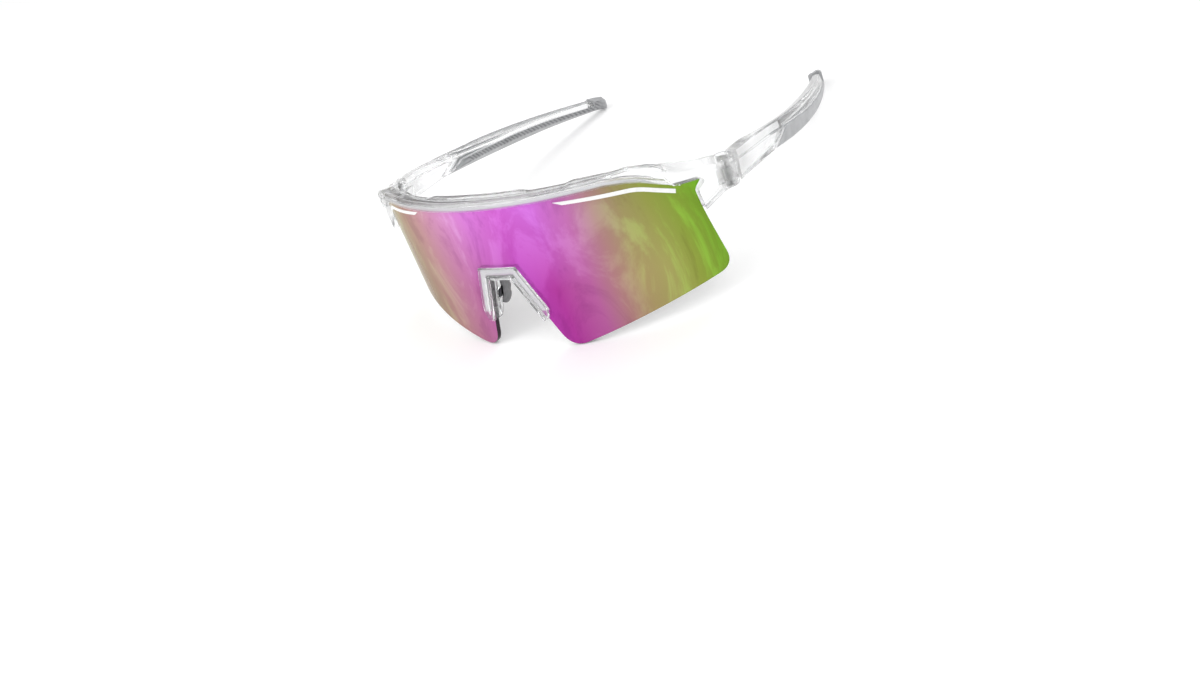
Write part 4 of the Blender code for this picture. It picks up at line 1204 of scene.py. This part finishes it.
def temple_grip(side, name):
    """The rubber channel round the spine, closed at its tip, with its hatched inner face."""
    start = GRIP_START + GAP
    straight = spread(start + GRIP_RUN + RING_LEAD, CORE_TIP + GAP, GRIP_STEP)
    rings = [slanted_ring(grip_ring, start)]
    rings += [flat_ring(grip_ring, y) for y in straight]
    block = CORE_TIP + 2.0 * GAP
    rings += [[(x, y, z) for x, z in grip_ring(y, 1.0)] for y in spread(block, TIP_START, GRIP_STEP)]
    rings += [tip_ring(setback, scale) for setback, scale in TIP_ROUNDING]
    depths = []
    for ring in rings:
        for k in GRIP_FACE:
            x, y, z = ring[k]
            depth = hatch_depth(k, y, z)
            ring[k] = (x + HATCH_DEPTH * depth, y, z)
            depths.append(depth)
    bm = skin(rings)
    # The hatch depth is kept on the points for the painted shade in the cuts
    layer = bm.verts.layers.float.new("hatch")
    bm.verts.ensure_lookup_table()
    for index, depth in enumerate(depths):
        row, column = divmod(index, len(GRIP_FACE))
        bm.verts[row * len(rings[0]) + GRIP_FACE[column]][layer] = depth
    obj = solid("grip_" + name, for_side(bm, side))
    finish_piece(obj, "temple_" + name, ["temple_grip_" + name], (GRIP,), 45.0)


# ---- nose bridge and pads

def bridge_section(depth, flange):
    """Channel section as (n, y): n away from the nose, y behind the lens face."""
    front = BRIDGE_FRONT
    back = LENS_THICK + GAP
    return soft([
        (0.0, front, 0.45), (1.0, front, 0.0), (1.2, front + 0.45, 0.0), (1.4, front, 0.0),
        (flange, front, 0.6), (flange, -GAP, 0.12), (WEB, -GAP, 0.1), (WEB, back, 0.1),
        (flange - 1.2, back, 0.12), (flange - 1.2, back + 0.7, 0.3), (WEB, back + 0.9, 0.25),
        (WEB, depth, 0.25), (0.0, depth, 0.25),
    ])


def leg_ring(z, depth, flange):
    """Section across the right leg, square to it, starting from its inner edge at height z."""
    s = nose_edge(z, 0.0)
    out_s = math.cos(LEG_ANGLE)
    out_z = math.sin(LEG_ANGLE)
    return [(s + n * out_s, y, z + n * out_z) for n, y in bridge_section(depth, flange)]


def corner_ring():
    """Mitred section where the right leg meets the saddle."""
    z = BRIDGE_TOP - FLANGE
    s = nose_edge(z, 0.0)
    slant = (BRIDGE_HALF_TOP - s) / FLANGE
    return [(s + n * slant, y, z + n) for n, y in bridge_section(WEB_DEPTH, FLANGE)]


def saddle_ring(s):
    """Section across the saddle that joins the two legs."""
    z = BRIDGE_TOP - FLANGE
    return [(s, y, z + n) for n, y in bridge_section(WEB_DEPTH, FLANGE)]


def pad_place(side):
    """The pad's swivel: local Z runs up the leg and local Y points back."""
    s = nose_edge(PAD_MIDDLE, WEB / 2.0)
    above = bent(side * nose_edge(PAD_MIDDLE + 1.0, WEB / 2.0), PAD_SWIVEL_Y, PAD_MIDDLE + 1.0)
    middle = bent(side * s, PAD_SWIVEL_Y, PAD_MIDDLE)
    up = (above - middle).normalized()
    back = (bent(side * s, PAD_SWIVEL_Y + 1.0, PAD_MIDDLE) - middle).normalized()
    across = back.cross(up).normalized()
    back = up.cross(across)
    return Matrix.Translation(middle) @ Matrix((across, back, up)).transposed().to_4x4()


def nose_bridge():
    """The clear clip: two legs with rounded feet and a saddle, with a notch for each pad."""
    right = [leg_ring(BRIDGE_FOOT + rise, WEB_DEPTH - less_depth, FLANGE - less_flange)
             for rise, less_depth, less_flange in BRIDGE_FEET]
    straight = spread(BRIDGE_FOOT + 3.0, BRIDGE_TOP - FLANGE - 2.4, 1.0)
    right += [leg_ring(z, WEB_DEPTH, FLANGE) for z in straight]
    right.append(corner_ring())
    right += [saddle_ring(s) for s in (1.8, 0.9)]
    left = [[(-s, y, z) for s, y, z in ring] for ring in reversed(right)]
    obj = solid("bridge", skin([[bent(*point) for point in ring] for ring in right + left]))
    for side, _ in SIDES:
        notch = box((-0.9, -0.9, -PLATE_HALF - GAP), (0.8, 3.0, PLATE_HALF + GAP))
        combine(obj, transformed(notch, pad_place(side)))
    finish_piece(obj, "front", ["nose_bridge"], (CLEAR,))


def nose_pad(side, name):
    """A soft pad and the bracket that it is pushed on to."""
    place = pad_place(side)
    turn = Matrix.Rotation(-side * PAD_TURN, 4, 'Z')
    half = PLATE_THICK / 2.0
    strip = transformed(box((-half, 0.0, -PLATE_HALF), (half, PLATE_REACH, PLATE_HALF)), turn)
    bracket = solid("pad_bracket_" + name, strip)
    round_edges(bracket, 0.12)
    combine(bracket, cylinder(BARREL_RADIUS, -PLATE_HALF, PLATE_HALF, 32, 0.12), 'UNION')
    body = "nose_pad_" + name
    finish_piece(bracket, body, ["nose_pad_bracket_" + name], (DARK_STEEL,), 30.0, place)
    bm = flat_plate(pad_outline(), -PAD_THICK / 2.0, PAD_THICK / 2.0, 0.55)
    bmesh.ops.rotate(bm, verts=bm.verts, matrix=Matrix.Rotation(math.pi / 2.0, 3, 'Z'))
    pad = solid("pad_" + name, transformed(bm, turn))
    half += GAP
    height = PLATE_HALF + GAP
    slot = box((-half, PLATE_SLOT_START, -height), (half, PLATE_REACH + GAP, height))
    combine(pad, transformed(slot, turn))
    finish_piece(pad, body, ["nose_pad_" + name], (PAD,), 40.0, place)


def pad_outline():
    """Pad seen from the side as (back, up): straight front edge, three scallops behind."""
    return soft([
        (PAD_FRONT, 5.4, 1.6), (PAD_FRONT, -5.6, 1.8), (PAD_FRONT + 3.0, -6.6, 1.5),
        (PAD_BACK - 0.3, -4.6, 1.2), (PAD_BACK - 0.9, -2.4, 0.5), (PAD_BACK, -1.4, 0.8),
        (PAD_BACK - 0.9, 0.6, 0.5), (PAD_BACK, 1.6, 0.8), (PAD_BACK - 0.9, 3.4, 0.5),
        (PAD_BACK - 0.3, 5.2, 1.2), (PAD_BACK - 2.4, 6.2, 1.2),
    ], 6)


# ---- stage, light and camera

def make_floor():
    """A wide sheet of near-white paper."""
    bm = bmesh.new()
    bmesh.ops.create_grid(bm, x_segments=1, y_segments=1, size=FLOOR_SIZE)
    floor = solid("floor", bm)
    nodes = shader_nodes("floor_paper")
    nodes.feed("Base Color", nodes.mottle(nodes.noise(3.0, 2.0), grey(0.93), grey(0.95), 0.0, 1.0))
    nodes.set(Roughness=0.9, Specular_IOR_Level=0.1, Emission_Color=WHITE, Emission_Strength=0.12)
    floor.data.materials.append(nodes.owner)


def make_world():
    """A bright surround with a dark band low down, which gives clear edges their lines.

    The camera itself sees it as one plain tone.
    """
    nodes = Nodes(bpy.data.worlds.new("studio"), "Background")
    bpy.context.scene.world = nodes.owner
    parts = nodes.add('ShaderNodeSeparateXYZ')
    nodes.join(nodes.add('ShaderNodeTexCoord').outputs["Generated"], parts.inputs["Vector"])
    shade = nodes.ramp(parts.outputs["Z"], [(height, grey(value)) for height, value in SURROUND])
    seen = nodes.add('ShaderNodeLightPath').outputs["Is Camera Ray"]
    nodes.feed("Color", nodes.mix(seen, shade, grey(BACKDROP)))


def soft_box(name, place, size, power):
    """A square light that faces the middle of the glasses."""
    light = bpy.data.lights.new(name, 'AREA')
    light.size = size
    light.energy = power
    obj = linked(name, light)
    obj.location = place
    obj.rotation_euler = (LIGHT_TARGET - Vector(place)).to_track_quat('-Z', 'Y').to_euler()


def make_camera():
    """The camera stands in front and to the side, a little above, and is rolled."""
    back = Vector((math.sin(CAMERA_AZIMUTH) * math.cos(CAMERA_ELEVATION),
                   -math.cos(CAMERA_AZIMUTH) * math.cos(CAMERA_ELEVATION), math.sin(CAMERA_ELEVATION)))
    right = Vector((math.cos(CAMERA_AZIMUTH), math.sin(CAMERA_AZIMUTH), 0.0))
    turn = Matrix((right, back.cross(right), back)).transposed().to_4x4()
    turn = turn @ Matrix.Rotation(CAMERA_ROLL, 4, 'Z')
    place = Matrix.Translation(CAMERA_TARGET + back * CAMERA_DISTANCE)
    camera = linked("camera", bpy.data.cameras.new("camera"))
    camera.matrix_world = STANCE @ place @ turn
    camera.data.lens = CAMERA_LENS
    camera.data.sensor_width = CAMERA_SENSOR
    camera.data.shift_x, camera.data.shift_y = CAMERA_SHIFT
    camera.data.clip_start = CAMERA_NEAR
    bpy.context.scene.camera = camera


def build():
    """Everything in the scene."""
    make_camera()
    shield_lens()
    front_frame()
    nose_bridge()
    for side, name in SIDES:
        lens_stripe(side, name)
        nose_pad(side, name)
        hinge_screw(side, name)
        hinge_sleeve(side, name)
        hinge_nut(side, name)
        temple_arm(side, name)
        temple_grip(side, name)
    make_floor()
    make_world()
    for name, place, size, power in SOFT_BOXES:
        soft_box(name, place, size, power)
    bpy.context.scene.view_settings.view_transform = 'Standard'


build()
bpy.context.view_layer.update()
